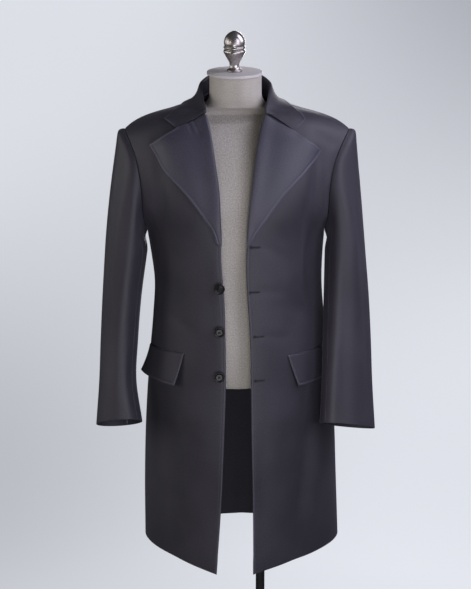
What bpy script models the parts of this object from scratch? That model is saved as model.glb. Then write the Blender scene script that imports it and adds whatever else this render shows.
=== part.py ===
"""A long frock coat worn by a limbless dress form on a round-based stand.

Metres, +Z up. The coat's front faces -Y and the wearer's left is +X. Every piece that a maker would
cut is its own closed solid: two fronts, a back, four sleeve pieces, a collar, two lapels, two pocket
flaps and three buttons. Cloth pieces are thin walls, their seams a hair apart.
"""

import math
from collections import namedtuple

import bmesh
import bpy
import numpy as np

# ---------------------------------------------------------------- cloth and seams
CLOTH = 0.0024            # a wool cloth with its interlining and turned facing
SLEEVE_CLOTH = 0.0020
SEAM_GAP = 0.0003
LAY_GAP = 0.0005          # between a panel and what lies on it
SIDES = {"right": -1.0, "left": 1.0}

# ---------------------------------------------------------------- shoulder line
NECK_POINT = (0.075, 0.034, 1.4250)      # where the shoulder seam meets the collar
SHOULDER_X = {-1.0: 0.2370, 1.0: 0.2430}    # shoulder point, where the sleeve is set in
SHOULDER_Y = 0.004
SHOULDER_SLOPE = {-1.0: 0.205, 1.0: 0.198}
SHOULDER_DROOP = 0.021                   # extra fall at the very end, over the pad
DROOP_POWER = 6

# ---------------------------------------------------------------- side seams and armholes
# steps: how many strips the solid has up to the next row
Side = namedtuple("Side", "name z x_right x_left y steps")
SIDE_SEAM = [
    Side("hem",         0.428, 0.2050, 0.2322, 0.030, 3),
    Side("knee",        0.565, 0.2045, 0.2265, 0.030, 3),
    Side("thigh",       0.730, 0.1990, 0.2190, 0.030, 3),
    Side("seat",        0.867, 0.1890, 0.2050, 0.030, 2),
    Side("hip",         0.950, 0.1815, 0.1950, 0.028, 2),
    Side("waist",       1.030, 0.1775, 0.1890, 0.026, 2),
    Side("ribs",        1.090, 0.1840, 0.1900, 0.021, 2),
    Side("underarm",    1.140, 0.1910, 0.1930, 0.014, 2),
]
FRONT_ARMHOLE = [
    Side("chest low",   1.190, 0.1980, 0.1985, -0.046, 2),
    Side("chest",       1.250, 0.2005, 0.2010, -0.065, 2),
    Side("chest high",  1.308, 0.2090, 0.2110, -0.058, 2),
    Side("collarbone",  1.342, 0.2215, 0.2255, -0.038, 2),
    Side("gorge",       1.358, 0.2300, 0.2350, -0.022, 2),
    Side("neck side",   1.367, 0.2350, 0.2408, -0.008, 2),
]
BACK_ARMHOLE = [
    Side("blade low",   1.180, 0.1985, 0.1995, 0.050, 2),
    Side("blade",       1.232, 0.2060, 0.2065, 0.076, 2),
    Side("blade high",  1.285, 0.2100, 0.2110, 0.079, 2),
    Side("yoke",        1.330, 0.2190, 0.2225, 0.062, 2),
    Side("yoke high",   1.353, 0.2290, 0.2340, 0.036, 2),
    Side("nape",        1.365, 0.2345, 0.2400, 0.018, 2),
]

# ---------------------------------------------------------------- rows of cloth, hem to shoulder
# edge: the open front edge, then the lapel's roll line, then the neck seam
# lead: direction of the cloth as it leaves the edge, in degrees from the side toward the back
# turn: the same direction where it meets the side seam or armhole
# reach: the share of the row over which it comes round to the side
# lift: how far the cloth stands above the armhole just before it, so it arches down to it
FrontRow = namedtuple("FrontRow", "name edge_z edge_x_right edge_x_left edge_y lead turn reach lift")
FRONT_ROWS = [
    FrontRow("hem",         0.416, 0.0425, 0.0400, -0.185, 40, 90, 0.30, 0.000),
    FrontRow("knee",        0.557, 0.0325, 0.0386, -0.180, 30, 90, 0.36, 0.000),
    FrontRow("thigh",       0.730, 0.0247, 0.0350, -0.175, 16, 90, 0.40, 0.000),
    FrontRow("seat",        0.867, 0.0205, 0.0328, -0.170,  6, 90, 0.42, 0.000),
    FrontRow("hip",         0.955, 0.0214, 0.0310, -0.165,  2, 90, 0.42, 0.000),
    FrontRow("waist",       1.035, 0.0235, 0.0255, -0.160,  0, 90, 0.42, 0.000),
    FrontRow("ribs",        1.110, 0.0295, 0.0225, -0.153,  0, 90, 0.42, 0.000),
    FrontRow("underarm",    1.165, 0.0305, 0.0255, -0.149,  0, 90, 0.42, 0.000),
    FrontRow("chest low",   1.215, 0.0340, 0.0300, -0.146,  0, 60, 0.42, 0.000),
    FrontRow("chest",       1.265, 0.0367, 0.0360, -0.139,  0, 52, 0.42, 0.000),
    FrontRow("chest high",  1.330, 0.0461, 0.0445, -0.122,  0, 46, 0.42, 0.004),
    FrontRow("collarbone",  1.380, 0.0545, 0.0530, -0.097,  0, 40, 0.42, 0.012),
    FrontRow("gorge",       1.416, 0.0645, 0.0640, -0.062,  0, 30, 0.42, 0.024),
    FrontRow("neck side",   1.424, 0.0705, 0.0705, -0.014,  0, 12, 0.42, 0.036),
]
FRONT_COLUMNS = 15
START_REACH = 0.38        # share of a row over which the cloth leaves the edge straight

BackRow = namedtuple("BackRow", "name centre_z centre_y lead turn reach lift")
BACK_ROWS = [
    BackRow("hem",         0.426, 0.152, 12, 90, 0.36, 0.000),
    BackRow("knee",        0.565, 0.149,  8, 90, 0.40, 0.000),
    BackRow("thigh",       0.730, 0.143,  4, 90, 0.42, 0.000),
    BackRow("seat",        0.867, 0.132,  0, 90, 0.42, 0.000),
    BackRow("hip",         0.950, 0.116,  0, 90, 0.42, 0.000),
    BackRow("waist",       1.030, 0.104,  0, 90, 0.42, 0.000),
    BackRow("ribs",        1.095, 0.108,  0, 90, 0.42, 0.000),
    BackRow("underarm",    1.150, 0.117,  0, 90, 0.42, 0.000),
    BackRow("blade low",   1.205, 0.126,  0, 60, 0.42, 0.000),
    BackRow("blade",       1.265, 0.131,  0, 52, 0.42, 0.000),
    BackRow("blade high",  1.325, 0.128,  0, 50, 0.42, 0.004),
    BackRow("yoke",        1.375, 0.118,  0, 44, 0.42, 0.012),
    BackRow("yoke high",   1.410, 0.106,  0, 34, 0.42, 0.026),
    BackRow("nape",        1.432, 0.096,  0, 16, 0.42, 0.036),
]
NAPE = (0.0, 0.088, 1.4470)
NECK_SHARE = 1 / 3        # how far along half the back's top row the neck point comes
BACK_HALF_COLUMNS = 9


# ---------------------------------------------------------------- sleeves
# outer and inner: how far the arm's far and near sides lie from the middle of the body
# skew: how far the near side is swung forward; rise_y, rise_x: how the cuff's plane is tipped
SleeveRow = namedtuple("SleeveRow", "name z outer inner middle_y half_depth skew rise_y rise_x steps")
SLEEVES = {
    "right": [
        SleeveRow("bicep",  1.100, 0.2840, 0.1915, -0.006, 0.078, 0.000, 0.00, 0.00, 3),
        SleeveRow("above",  1.000, 0.2905, 0.2052, -0.014, 0.071, 0.000, 0.00, 0.00, 3),
        SleeveRow("elbow",  0.905, 0.2955, 0.2133, -0.024, 0.066, 0.000, 0.00, 0.00, 3),
        SleeveRow("below",  0.820, 0.2990, 0.2172, -0.044, 0.060, 0.004, 0.16, 0.02, 3),
        SleeveRow("cuff",   0.727, 0.3062, 0.2038, -0.070, 0.050, 0.008, 0.50, 0.05, 1),
    ],
    "left": [
        SleeveRow("bicep",  1.100, 0.2825, 0.1935, -0.008, 0.078, 0.004, 0.00, 0.00, 3),
        SleeveRow("above",  1.000, 0.2915, 0.1912, -0.022, 0.068, 0.016, 0.00, 0.00, 3),
        SleeveRow("elbow",  0.905, 0.2970, 0.1885, -0.046, 0.060, 0.028, 0.00, 0.00, 3),
        SleeveRow("below",  0.820, 0.3005, 0.1865, -0.066, 0.054, 0.030, 0.14, 0.03, 3),
        SleeveRow("cuff",   0.727, 0.3066, 0.1826, -0.088, 0.046, 0.024, 0.43, 0.07, 1),
    ],
}
FRONT_SEAM = 0.40         # share of the way round the arm, from the top over the front
HIND_SEAM = 0.70
TOP_SLEEVE_COLUMNS = 17
UNDER_SLEEVE_COLUMNS = 7
HEAD_STRIPS = 8           # strips from the armhole down to the bicep
HEAD_RIDGE = 0.0085       # how far the sleeve head stands out over the shoulder point
HEAD_RIDGE_AT = 0.10      # share of the way down to the bicep where it stands out most

# ---------------------------------------------------------------- lapels
# One row across the lapel: its height on the roll line and where its outer edge lies
LapelRow = namedtuple("LapelRow", "name roll_z edge_x_right edge_z_right edge_x_left edge_z_left steps")
LAPEL_ROWS = [
    LapelRow("break",   1.150, 0.0405, 1.1570, 0.0310, 1.1550, 1),
    LapelRow("low",     1.170, 0.0485, 1.1827, 0.0399, 1.1710, 2),
    LapelRow("belly",   1.193, 0.0644, 1.2068, 0.0638, 1.2052, 2),
    LapelRow("middle",  1.232, 0.0965, 1.2498, 0.0975, 1.2522, 2),
    LapelRow("upper",   1.265, 0.1206, 1.2764, 0.1185, 1.2745, 2),
    LapelRow("wide",    1.300, 0.1450, 1.3015, 0.1411, 1.2967, 2),
    LapelRow("near tip", 1.345, 0.1621, 1.3272, 0.1599, 1.3186, 4),
    LapelRow("gorge",   1.411, 0.1784, 1.3493, 0.1792, 1.3392, 1),
]
NOTCH_RISE = 0.008        # the notch stands above the straight line from roll to lapel tip
LAPEL_BELLY = 0.0030      # how far the lapel's middle stands off the chest
LAPEL_COLUMNS = 10

# ---------------------------------------------------------------- collar
# folded: 1 where the collar stands and falls over, 0 where it lies flat beside the lapel
CollarRow = namedtuple("CollarRow", "name seam fold edge folded steps")
COLLAR_HALF = [
    CollarRow("centre back", (0.000, 0.088, 1.447), (0.000, 0.0945, 1.479), (0.000, 0.112, 1.429), 1, 1),
    CollarRow("back",        (0.030, 0.0855, 1.444), (0.031, 0.091, 1.477), (0.045, 0.105, 1.427), 1, 2),
    CollarRow("neck corner", (0.0555, 0.0735, 1.438), (0.0565, 0.0745, 1.471), (0.084, 0.085, 1.4225), 1, 2),
    CollarRow("neck side",   (0.071, 0.052, 1.429), (0.072, 0.052, 1.463), (0.106, 0.052, 1.419), 1, 1),
    CollarRow("shoulder",    (0.075, 0.034, 1.425), (0.075, 0.033, 1.457), (0.115, 0.022, 1.418), 1, 2),
    CollarRow("front side",  (0.0735, 0.005, 1.425), (0.0735, 0.000, 1.4485), (0.122, -0.006, 1.418), 1, 2),
    CollarRow("neck front",  (0.070, -0.025, 1.4225), (0.0705, -0.030, 1.439), (0.129, -0.022, 1.415), 1, 2),
    CollarRow("gorge",       (0.0645, -0.060, 1.416), (0.065, -0.062, 1.424), (0.137, -0.034, 1.411), 1, 1),
    CollarRow("beside roll", (0.0745, -0.066, 1.413), (0.0745, -0.066, 1.413), (0.140, -0.037, 1.4095), 0, 3),
]
NOTCH = {"right": (0.1226, -0.0823, 1.3875), "left": (0.1255, -0.0852, 1.3823)}
COLLAR_TIP = {"right": (0.1522, -0.0471, 1.4032), "left": (0.1480, -0.0543, 1.4015)}
FOLD_RADIUS = 0.0026      # of the collar's own roll, at the middle of the cloth
STAND_LIFT = 0.0018       # the stand's foot above the neck seam
COLLAR_SAG = 0.0060       # how far the fall hollows in on its way down from the fold

# ---------------------------------------------------------------- flaps and buttons
FLAP_TOP_Z = 0.906
FLAP_LOW_Z = 0.832
FLAP_FRONT_X = 0.110
FLAP_SLANT = {"right": 0.012, "left": 0.021}       # the front edge runs back this far on its way down
FLAP_LENGTH = {"right": 0.150, "left": 0.132}
FLAP_FLARE = {"right": 0.013, "left": 0.006}       # how far the lower edge stands off the skirt
FLAP_CORNER_FLARE = {"right": 0.004, "left": 0.0}  # and the far corner besides
FLAP_FALL_TOP = {"right": 0.017, "left": 0.008}    # the flap's top edge falls away toward the side seam
FLAP_FALL_LOW = {"right": 0.006, "left": 0.002}
FLAP_LIFT = 0.0009        # of the flap's top edge above the front
FLAP_COLUMNS = 9
FLAP_ROWS = 4

BUTTON_X = 0.0345
BUTTON_HEIGHTS = {"top": 1.059, "middle": 0.965, "bottom": 0.866}
BUTTON_RADIUS = 0.0117
BUTTON_LEAN = math.radians(16)   # they lean on their thread shanks toward the opening
SHANK = (0.0021, 0.0030)         # radius and height of the thread shank

# ---------------------------------------------------------------- dress form and stand
FORM_CENTRE_X = -0.002
TorsoRow = namedtuple("TorsoRow", "name z half_width front_y back_y")
TORSO_ROWS = [
    TorsoRow("foot",       0.8200, 0.150, -0.118, 0.098),
    TorsoRow("seat",       0.8600, 0.160, -0.128, 0.108),
    TorsoRow("hip",        0.9400, 0.158, -0.130, 0.096),
    TorsoRow("waist",      1.0200, 0.148, -0.126, 0.080),
    TorsoRow("ribs",       1.1000, 0.156, -0.128, 0.086),
    TorsoRow("chest",      1.1900, 0.168, -0.128, 0.102),
    TorsoRow("chest high", 1.2600, 0.172, -0.118, 0.108),
    TorsoRow("armpit",     1.3200, 0.172, -0.094, 0.106),
    TorsoRow("shoulder",   1.3650, 0.170, -0.060, 0.098),
    TorsoRow("slope low",  1.3880, 0.161, -0.034, 0.080),
]
LOWER_SHOULDER = -1.0
SLOPE_XS = (0.150, 0.130, 0.110)                   # the form's own shoulder touches the coat's here
SLOPE_FRONT_Y = (-0.004, -0.008, -0.014)
SLOPE_BACK_Y = (0.048, 0.058, 0.066)
NECK_ROWS = [
    TorsoRow("neck foot",  1.4205, 0.071, -0.030, 0.072),
    TorsoRow("neck root",  1.4290, 0.062, -0.036, 0.068),
    TorsoRow("neck low",   1.4420, 0.057, -0.044, 0.064),
    TorsoRow("neck",       1.4620, 0.056, -0.050, 0.060),
    TorsoRow("neck top",   1.4880, 0.056, -0.055, 0.056),
]
TORSO_SEGMENTS = 32
FORM_CLEARANCE = 0.0005
CAP_RADIUS = 0.059
CAP_TOP_Z = 1.4950
FINIAL_BASE_Z = 1.4953
# radius and height above the base of each turn of the acorn finial
FINIAL_PROFILE = [
    (0.0160, 0.0000), (0.0165, 0.0025), (0.0120, 0.0065), (0.0105, 0.0110), (0.0112, 0.0180),
    (0.0150, 0.0255), (0.0200, 0.0345), (0.0228, 0.0395), (0.0236, 0.0425), (0.0228, 0.0455),
    (0.0206, 0.0470), (0.0232, 0.0500), (0.0232, 0.0525), (0.0212, 0.0540), (0.0226, 0.0590),
    (0.0222, 0.0660), (0.0190, 0.0745), (0.0130, 0.0810), (0.0060, 0.0850), (0.0022, 0.0866),
]
POLE_X = 0.056            # the pole stands behind the wearer's left front
POLE_RADIUS = 0.010
FLANGE_RADIUS = 0.030
FLANGE_THICKNESS = 0.006
BASE_RADIUS = 0.1852
BASE_EDGE = 0.010
BASE_HEIGHT = 0.030


def smooth(stations, values, at):
    """A curve through the table's rows, its slope at each row taken from both neighbours."""
    places = np.asarray(stations, float)
    points = np.asarray(values, float)
    step = np.diff(places)[:, None]
    slope = np.diff(points, axis=0) / step
    tangent = np.empty_like(points)
    tangent[0], tangent[-1] = slope[0], slope[-1]
    tangent[1:-1] = (slope[:-1] * step[1:] + slope[1:] * step[:-1]) / (step[1:] + step[:-1])
    i = int(np.clip(np.searchsorted(places, at) - 1, 0, len(places) - 2))
    h = step[i, 0]
    t = (at - places[i]) / h
    return (points[i] * (2 * t**3 - 3 * t**2 + 1) + tangent[i] * h * (t**3 - 2 * t**2 + t)
            + points[i + 1] * (3 * t**2 - 2 * t**3) + tangent[i + 1] * h * (t**3 - t**2))


def bezier(p0, p1, p2, p3, t):
    return p0 * (1 - t)**3 + 3 * p1 * t * (1 - t)**2 + 3 * p2 * t**2 * (1 - t) + p3 * t**3


def shoulder_seam(sign, share):
    """A point of the shoulder seam, from the neck point (0) to the shoulder point (1)."""
    neck_x, neck_y, neck_z = NECK_POINT
    run = (SHOULDER_X[sign] - neck_x) * share
    z = neck_z - SHOULDER_SLOPE[sign] * run - SHOULDER_DROOP * share**DROOP_POWER
    y = neck_y + (SHOULDER_Y - neck_y) * (0.6 * share + 0.4 * share**2)
    return np.array([sign * (neck_x + run), y, z])


def shoulder_normal(sign, share):
    """Straight up from the shoulder seam, so that front and back share one edge."""
    a = shoulder_seam(sign, max(share - 0.01, 0))
    b = shoulder_seam(sign, min(share + 0.01, 1))
    along = (b - a) / np.linalg.norm(b - a)
    up = np.array([0.0, 0.0, 1.0])
    out = up - along * along.dot(up)
    return out / np.linalg.norm(out)


def heading(sign, depth, degrees):
    """A level direction, out to one side and turned toward the front (depth -1) or back (1)."""
    angle = math.radians(degrees)
    return np.array([sign * math.cos(angle), depth * math.sin(angle), 0.0])


def sweep(start, end, row, sign, depth):
    """One row of cloth, from `start` near the middle round to `end` at the side."""
    length = abs(end[0] - start[0])
    fall = np.array([0.0, 0.0, start[2] - end[2]])
    first = start + heading(sign, depth, row.lead) * length * START_REACH - fall * START_REACH * 0.6
    second = end - heading(sign, depth, row.turn) * np.linalg.norm(end - start) * row.reach
    second += fall * row.reach * 0.6 + np.array([0.0, 0.0, row.lift])
    return lambda t: bezier(start, first, second, end, t)


class Panel:
    """Rows of cloth, smoothed from row to row. u runs along a row, v is metres up the panel."""

    def __init__(self, curves, facing):
        self.curves = curves
        self.facing = facing      # 1 or -1, so that the normal points out of the coat
        middle = [curve(0.5) for curve in curves]
        gaps = [np.linalg.norm(b - a) for a, b in zip(middle, middle[1:])]
        self.stations = np.concatenate([[0.0], np.cumsum(gaps)])

    def at(self, u, v):
        return smooth(self.stations, [curve(u) for curve in self.curves], v)

    def normal(self, u, v, step=0.002):
        top = self.stations[-1]
        du = self.at(min(u + step, 1), v) - self.at(max(u - step, 0), v)
        dv = self.at(u, min(v + step, top)) - self.at(u, max(v - step, 0))
        out = np.cross(du, dv) * self.facing
        return out / np.linalg.norm(out)

    def roll(self, z):
        """How far up the panel its front edge or roll line has a height."""
        fine = np.linspace(0, self.stations[-1], 200)
        return float(np.interp(z, [self.at(0.0, v)[2] for v in fine[:-12]], fine[:-12]))

    def find(self, u, v, x, z):
        """The (u, v) where the panel has the given x and height, from a first guess."""
        wanted = np.array([x, z])
        axes = [0, 2]
        small = 1e-4
        for _ in range(12):
            here = self.at(u, v)[axes]
            by_u = (self.at(u + small, v)[axes] - here) / small
            by_v = (self.at(u, v + small)[axes] - here) / small
            change = np.linalg.solve(np.column_stack([by_u, by_v]), wanted - here)
            u = float(np.clip(u + change[0], 0, 1))
            v = float(np.clip(v + change[1], 0, self.stations[-1] - small))
        return u, v


    def nearest(self, u, v, point):
        """The (u, v) of the panel's closest point to a point near it."""
        small = 1e-4
        for _ in range(12):
            here = self.at(u, v)
            by_u = (self.at(min(u + small, 1), v) - self.at(max(u - small, 0), v)) / small
            by_v = (self.at(u, v + small) - here) / small
            if 0 < u < 1:
                by_u = by_u / 2
            slopes = np.column_stack([by_u, by_v])
            change = np.linalg.lstsq(slopes, point - here, rcond=None)[0]
            u = float(np.clip(u + change[0], 0, 1))
            v = float(np.clip(v + change[1], 0, self.stations[-1] - small))
        return u, v

    def lay(self, u, v, point, lift, flat=False):
        """The point, moved out until it clears the panel by `lift`, or laid just that far off it."""
        u, v = self.nearest(u, v, point)
        here, out = self.at(u, v), self.normal(u, v)
        height = (point - here).dot(out)
        if flat:
            return here + out * lift
        return point + out * max(lift - height, 0)


def side_point(row, side):
    x = row.x_right if side == "right" else row.x_left
    return np.array([SIDES[side] * x, row.y, row.z])


def front_panel(side):
    sign = SIDES[side]
    curves = []
    for row, end in zip(FRONT_ROWS, SIDE_SEAM + FRONT_ARMHOLE):
        edge_x = row.edge_x_right if side == "right" else row.edge_x_left
        start = np.array([sign * edge_x, row.edge_y, row.edge_z])
        curves.append(sweep(start, side_point(end, side), row, sign, 1.0))
    curves.append(lambda t: shoulder_seam(sign, t))
    return Panel(curves, sign)


def back_panel():
    """u runs from the right side seam (0) through the centre back (0.5) to the left one (1)."""
    curves = []
    for row, end in zip(BACK_ROWS, SIDE_SEAM + BACK_ARMHOLE):
        centre = np.array([(end.x_left - end.x_right) / 2, row.centre_y, row.centre_z])
        halves = {sign: sweep(centre, side_point(end, side), row, sign, -1.0)
                  for side, sign in SIDES.items()}
        curves.append(lambda u, halves=halves: halves[1.0 if u > 0.5 else -1.0](abs(2 * u - 1)))

    def top(u):
        sign = 1.0 if u > 0.5 else -1.0
        share = abs(2 * u - 1)
        if share > NECK_SHARE:
            return shoulder_seam(sign, (share - NECK_SHARE) / (1 - NECK_SHARE))
        nape = np.array(NAPE)
        neck = shoulder_seam(sign, 0.0)
        round_x = np.array([neck[0] * 0.55, nape[1], nape[2]])
        round_y = np.array([neck[0] * 0.95, nape[1] * 0.75 + neck[1] * 0.25, neck[2] + 0.009])
        return bezier(nape, round_x, round_y, neck, share / NECK_SHARE)

    curves.append(top)
    return Panel(curves, -1.0)


# ---------------------------------------------------------------- folds
# A fold is a soft trough or ridge along a line on the front or back, given by its ends in X and Z.
Fold = namedtuple("Fold", "piece top_x top_z low_x low_z width depth")
FOLDS = [
    Fold("front_left",  0.178, 1.262, 0.172, 1.080, 0.018, -0.0050),
    Fold("front_left",  0.150, 1.120, 0.130, 0.960, 0.030, -0.0030),
    Fold("front_left",  0.150, 0.780, 0.165, 0.430, 0.040, -0.0060),
    Fold("front_left",  0.095, 0.760, 0.085, 0.430, 0.035, 0.0035),
    Fold("front_right", -0.176, 1.240, -0.168, 1.090, 0.018, -0.0040),
    Fold("front_right", -0.120, 1.110, -0.105, 0.940, 0.030, -0.0030),
    Fold("front_right", -0.140, 0.760, -0.150, 0.430, 0.040, -0.0050),
    Fold("front_right", -0.085, 0.760, -0.080, 0.430, 0.035, 0.0030),
    Fold("back",        0.120, 0.940, 0.145, 0.430, 0.040, -0.0060),
    Fold("back",        0.050, 0.900, 0.065, 0.430, 0.040, 0.0050),
    Fold("back",       -0.045, 0.900, -0.055, 0.430, 0.040, 0.0045),
    Fold("back",       -0.110, 0.940, -0.125, 0.430, 0.040, -0.0060),
]
FOLD_FADE = 0.06          # a fold dies away over this much past its ends


def fold_push(piece, point):
    """How far the folds of a piece push its cloth out at a point."""
    push = 0.0
    for fold in FOLDS:
        if fold.piece != piece:
            continue
        share = (fold.top_z - point[2]) / (fold.top_z - fold.low_z)
        line_x = fold.top_x + (fold.low_x - fold.top_x) * min(max(share, 0), 1)
        past = max(point[2] - fold.top_z, 0)
        push += fold.depth * math.exp(-((point[0] - line_x) / fold.width)**2 - (past / FOLD_FADE)**2)
    return push


# ---------------------------------------------------------------- solids
def grid_normals(grid, outward, closed=False):
    """The outward normal at each point of a grid of cloth."""
    if closed:
        across = np.roll(grid, -1, axis=1) - np.roll(grid, 1, axis=1)
    else:
        across = np.gradient(grid, axis=1)
    along = np.gradient(grid, axis=0)
    normals = np.cross(across, along)
    normals /= np.linalg.norm(normals, axis=2, keepdims=True)
    if (normals * outward).sum() < 0:
        normals = -normals
    return normals


def material(name, colour, roughness, metallic=0.0):
    """One plain finish for each sub-part."""
    made = bpy.data.materials.new(name)
    made.use_nodes = True
    shader = made.node_tree.nodes["Principled BSDF"]
    shader.inputs["Base Color"].default_value = (*colour, 1.0)
    shader.inputs["Roughness"].default_value = roughness
    shader.inputs["Metallic"].default_value = metallic
    return made


def add_solid(name, vertices, faces, finish):
    """A closed mesh object with its faces turned outward."""
    mesh = bpy.data.meshes.new(name)
    mesh.from_pydata([tuple(v) for v in vertices], [], faces)
    work = bmesh.new()
    work.from_mesh(mesh)
    bmesh.ops.recalc_face_normals(work, faces=work.faces)
    work.to_mesh(mesh)
    work.free()
    mesh.materials.append(material(name, *finish))
    mesh.shade_smooth()
    mesh.set_sharp_from_angle(angle=math.radians(40))
    made = bpy.data.objects.new(name, mesh)
    bpy.context.scene.collection.objects.link(made)
    return made


def add_wall(name, outer, inner, finish):
    """A wall of cloth between two grids of points of the same size."""
    rows, columns = outer.shape[:2]
    vertices = np.concatenate([outer.reshape(-1, 3), inner.reshape(-1, 3)])
    under = rows * columns

    def number(i, j):
        return i * columns + j

    faces = []
    for i in range(rows - 1):
        for j in range(columns - 1):
            quad = [number(i, j), number(i, j + 1), number(i + 1, j + 1), number(i + 1, j)]
            faces.append(quad)
            faces.append([under + k for k in reversed(quad)])
    border = [number(0, j) for j in range(columns)]
    border += [number(i, columns - 1) for i in range(1, rows)]
    border += [number(rows - 1, j) for j in range(columns - 2, -1, -1)]
    border += [number(i, 0) for i in range(rows - 2, 0, -1)]
    for a, b in zip(border, border[1:] + border[:1]):
        faces.append([a, under + a, under + b, b])
    return add_solid(name, vertices, faces, finish)


def turned(profile, segments, centre):
    """Vertices and faces of a solid turned about a vertical axis from (radius, height) pairs."""
    vertices = []
    for radius, height in profile:
        for k in range(segments):
            angle = 2 * math.pi * k / segments
            x, y = radius * math.cos(angle), radius * math.sin(angle)
            vertices.append((centre[0] + x, centre[1] + y, height))
    faces = []
    for i in range(len(profile) - 1):
        for k in range(segments):
            n = (k + 1) % segments
            faces.append([i * segments + k, i * segments + n, (i + 1) * segments + n, (i + 1) * segments + k])
    faces.append(list(reversed(range(segments))))
    faces.append(list(range((len(profile) - 1) * segments, len(profile) * segments)))
    return vertices, faces


def pull_in(grid, first=False, last=False, rows=False, gap=SEAM_GAP / 2):
    """Draw the first or last column (or row) of a grid back from its seam."""
    work = grid if not rows else grid.transpose(1, 0, 2)
    if first:
        step = work[:, 1] - work[:, 0]
        work[:, 0] += step / np.linalg.norm(step, axis=1, keepdims=True) * gap
    if last:
        step = work[:, -2] - work[:, -1]
        work[:, -1] += step / np.linalg.norm(step, axis=1, keepdims=True) * gap


def row_places(panel, sides):
    """Where the solid's strips lie up the panel."""
    places = []
    for k, row in enumerate(sides):
        low, high = panel.stations[k], panel.stations[k + 1]
        places += [low + (high - low) * i / row.steps for i in range(row.steps)]
    return places + [panel.stations[-1]]


def side_seam(side):
    """The side seam's points from the hem to the underarm, shared by the front and the back."""
    heights = [row.z for row in SIDE_SEAM]
    points = [side_point(row, side) for row in SIDE_SEAM]
    seam = []
    for row, above in zip(SIDE_SEAM, SIDE_SEAM[1:]):
        seam += [smooth(heights, points, row.z + (above.z - row.z) * i / row.steps) for i in range(row.steps)]
    return np.array(seam + [points[-1]])


def seam_normals(rows, panel, places, sign, depth):
    """The outward direction all down a side seam and armhole, from the way the cloth comes in."""
    turns = [row.turn for row in rows] + [rows[-1].turn]
    across = [heading(sign, depth, np.interp(v, panel.stations, turns)) for v in places]
    return np.array([[sign * abs(a[1]), -depth * abs(a[0]), 0.0] for a in across])


# Plain finishes: a colour, a roughness and, for a metal, how metallic it is
WOOL = ((0.030, 0.028, 0.038), 0.62)
LAPEL_WOOL = ((0.040, 0.037, 0.050), 0.60)
HORN = ((0.012, 0.012, 0.014), 0.22)
JERSEY = ((0.470, 0.430, 0.380), 0.85)
BOARD = ((0.520, 0.490, 0.480), 0.70)
AGED_SILVER = ((0.420, 0.390, 0.360), 0.36, 0.9)
DARK_STEEL = ((0.030, 0.030, 0.033), 0.45, 0.6)


def build_front(side):
    sign = SIDES[side]
    panel = front_panel(side)
    places = row_places(panel, SIDE_SEAM + FRONT_ARMHOLE)
    shares = [(j / FRONT_COLUMNS)**1.12 for j in range(FRONT_COLUMNS + 1)]
    name = "front_" + side
    outer = np.array([[panel.at(u, v) for u in shares] for v in places])
    seam = side_seam(side)
    outer[:len(seam), -1] = seam
    pull_in(outer, last=True)
    pull_in(outer, last=True, rows=True)
    normals = grid_normals(outer, np.array([sign * 0.4, -1.0, 0.2]))
    normals[:, -1] = seam_normals(FRONT_ROWS, panel, places, sign, 1.0)
    normals[-1] = [shoulder_normal(sign, u) for u in shares]
    push = np.array([[fold_push(name, p) for p in row] for row in outer])[:, :, None]
    push[:, 0] *= 0.3
    push[:, -1] = 0
    outer += normals * push
    add_wall(name, outer, outer - normals * CLOTH, WOOL)
    return panel


def build_back():
    panel = back_panel()
    places = row_places(panel, SIDE_SEAM + BACK_ARMHOLE)
    neck_columns = round(BACK_HALF_COLUMNS * NECK_SHARE)
    half = [NECK_SHARE * j / neck_columns for j in range(neck_columns)]
    shoulder_columns = BACK_HALF_COLUMNS - neck_columns
    half += [NECK_SHARE + (1 - NECK_SHARE) * j / shoulder_columns for j in range(shoulder_columns + 1)]
    shares = [0.5 - h / 2 for h in reversed(half[1:])] + [0.5 + h / 2 for h in half]
    outer = np.array([[panel.at(u, v) for u in shares] for v in places])
    for side, column in (("right", 0), ("left", -1)):
        seam = side_seam(side)
        outer[:len(seam), column] = seam
    pull_in(outer, first=True, last=True)
    pull_in(outer, last=True, rows=True)
    normals = grid_normals(outer, np.array([0.0, 1.0, 0.2]))
    normals[:, 0] = seam_normals(BACK_ROWS, panel, places, -1.0, -1.0)
    normals[:, -1] = seam_normals(BACK_ROWS, panel, places, 1.0, -1.0)
    for j, u in enumerate(shares):
        share = abs(2 * u - 1)
        if share >= NECK_SHARE:
            along_seam = (share - NECK_SHARE) / (1 - NECK_SHARE)
            normals[-1, j] = shoulder_normal(1.0 if u > 0.5 else -1.0, along_seam)
    push = np.array([[fold_push("back", p) for p in row] for row in outer])[:, :, None]
    push[:, 0] = 0
    push[:, -1] = 0
    outer += normals * push
    add_wall("back", outer, outer - normals * CLOTH, WOOL)
    return panel


def armhole(side):
    """The armhole's points, from the shoulder point down the front and up the back."""
    sign = SIDES[side]
    top = shoulder_seam(sign, 1.0)
    under = side_point(SIDE_SEAM[-1], side)
    front = [top] + [side_point(row, side) for row in reversed(FRONT_ARMHOLE)] + [under]
    back = [under] + [side_point(row, side) for row in BACK_ARMHOLE] + [top]
    halves = []
    for points in (front, back):
        lengths = [np.linalg.norm(b - a) for a, b in zip(points, points[1:])]
        halves.append((np.concatenate([[0.0], np.cumsum(lengths)]), points))

    def at(share):
        stations, points = halves[0] if share % 1.0 <= 0.5 else halves[1]
        within = (share % 1.0) * 2 if share % 1.0 <= 0.5 else (share % 1.0) * 2 - 1
        return smooth(stations, points, stations[-1] * within)

    return at


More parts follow.
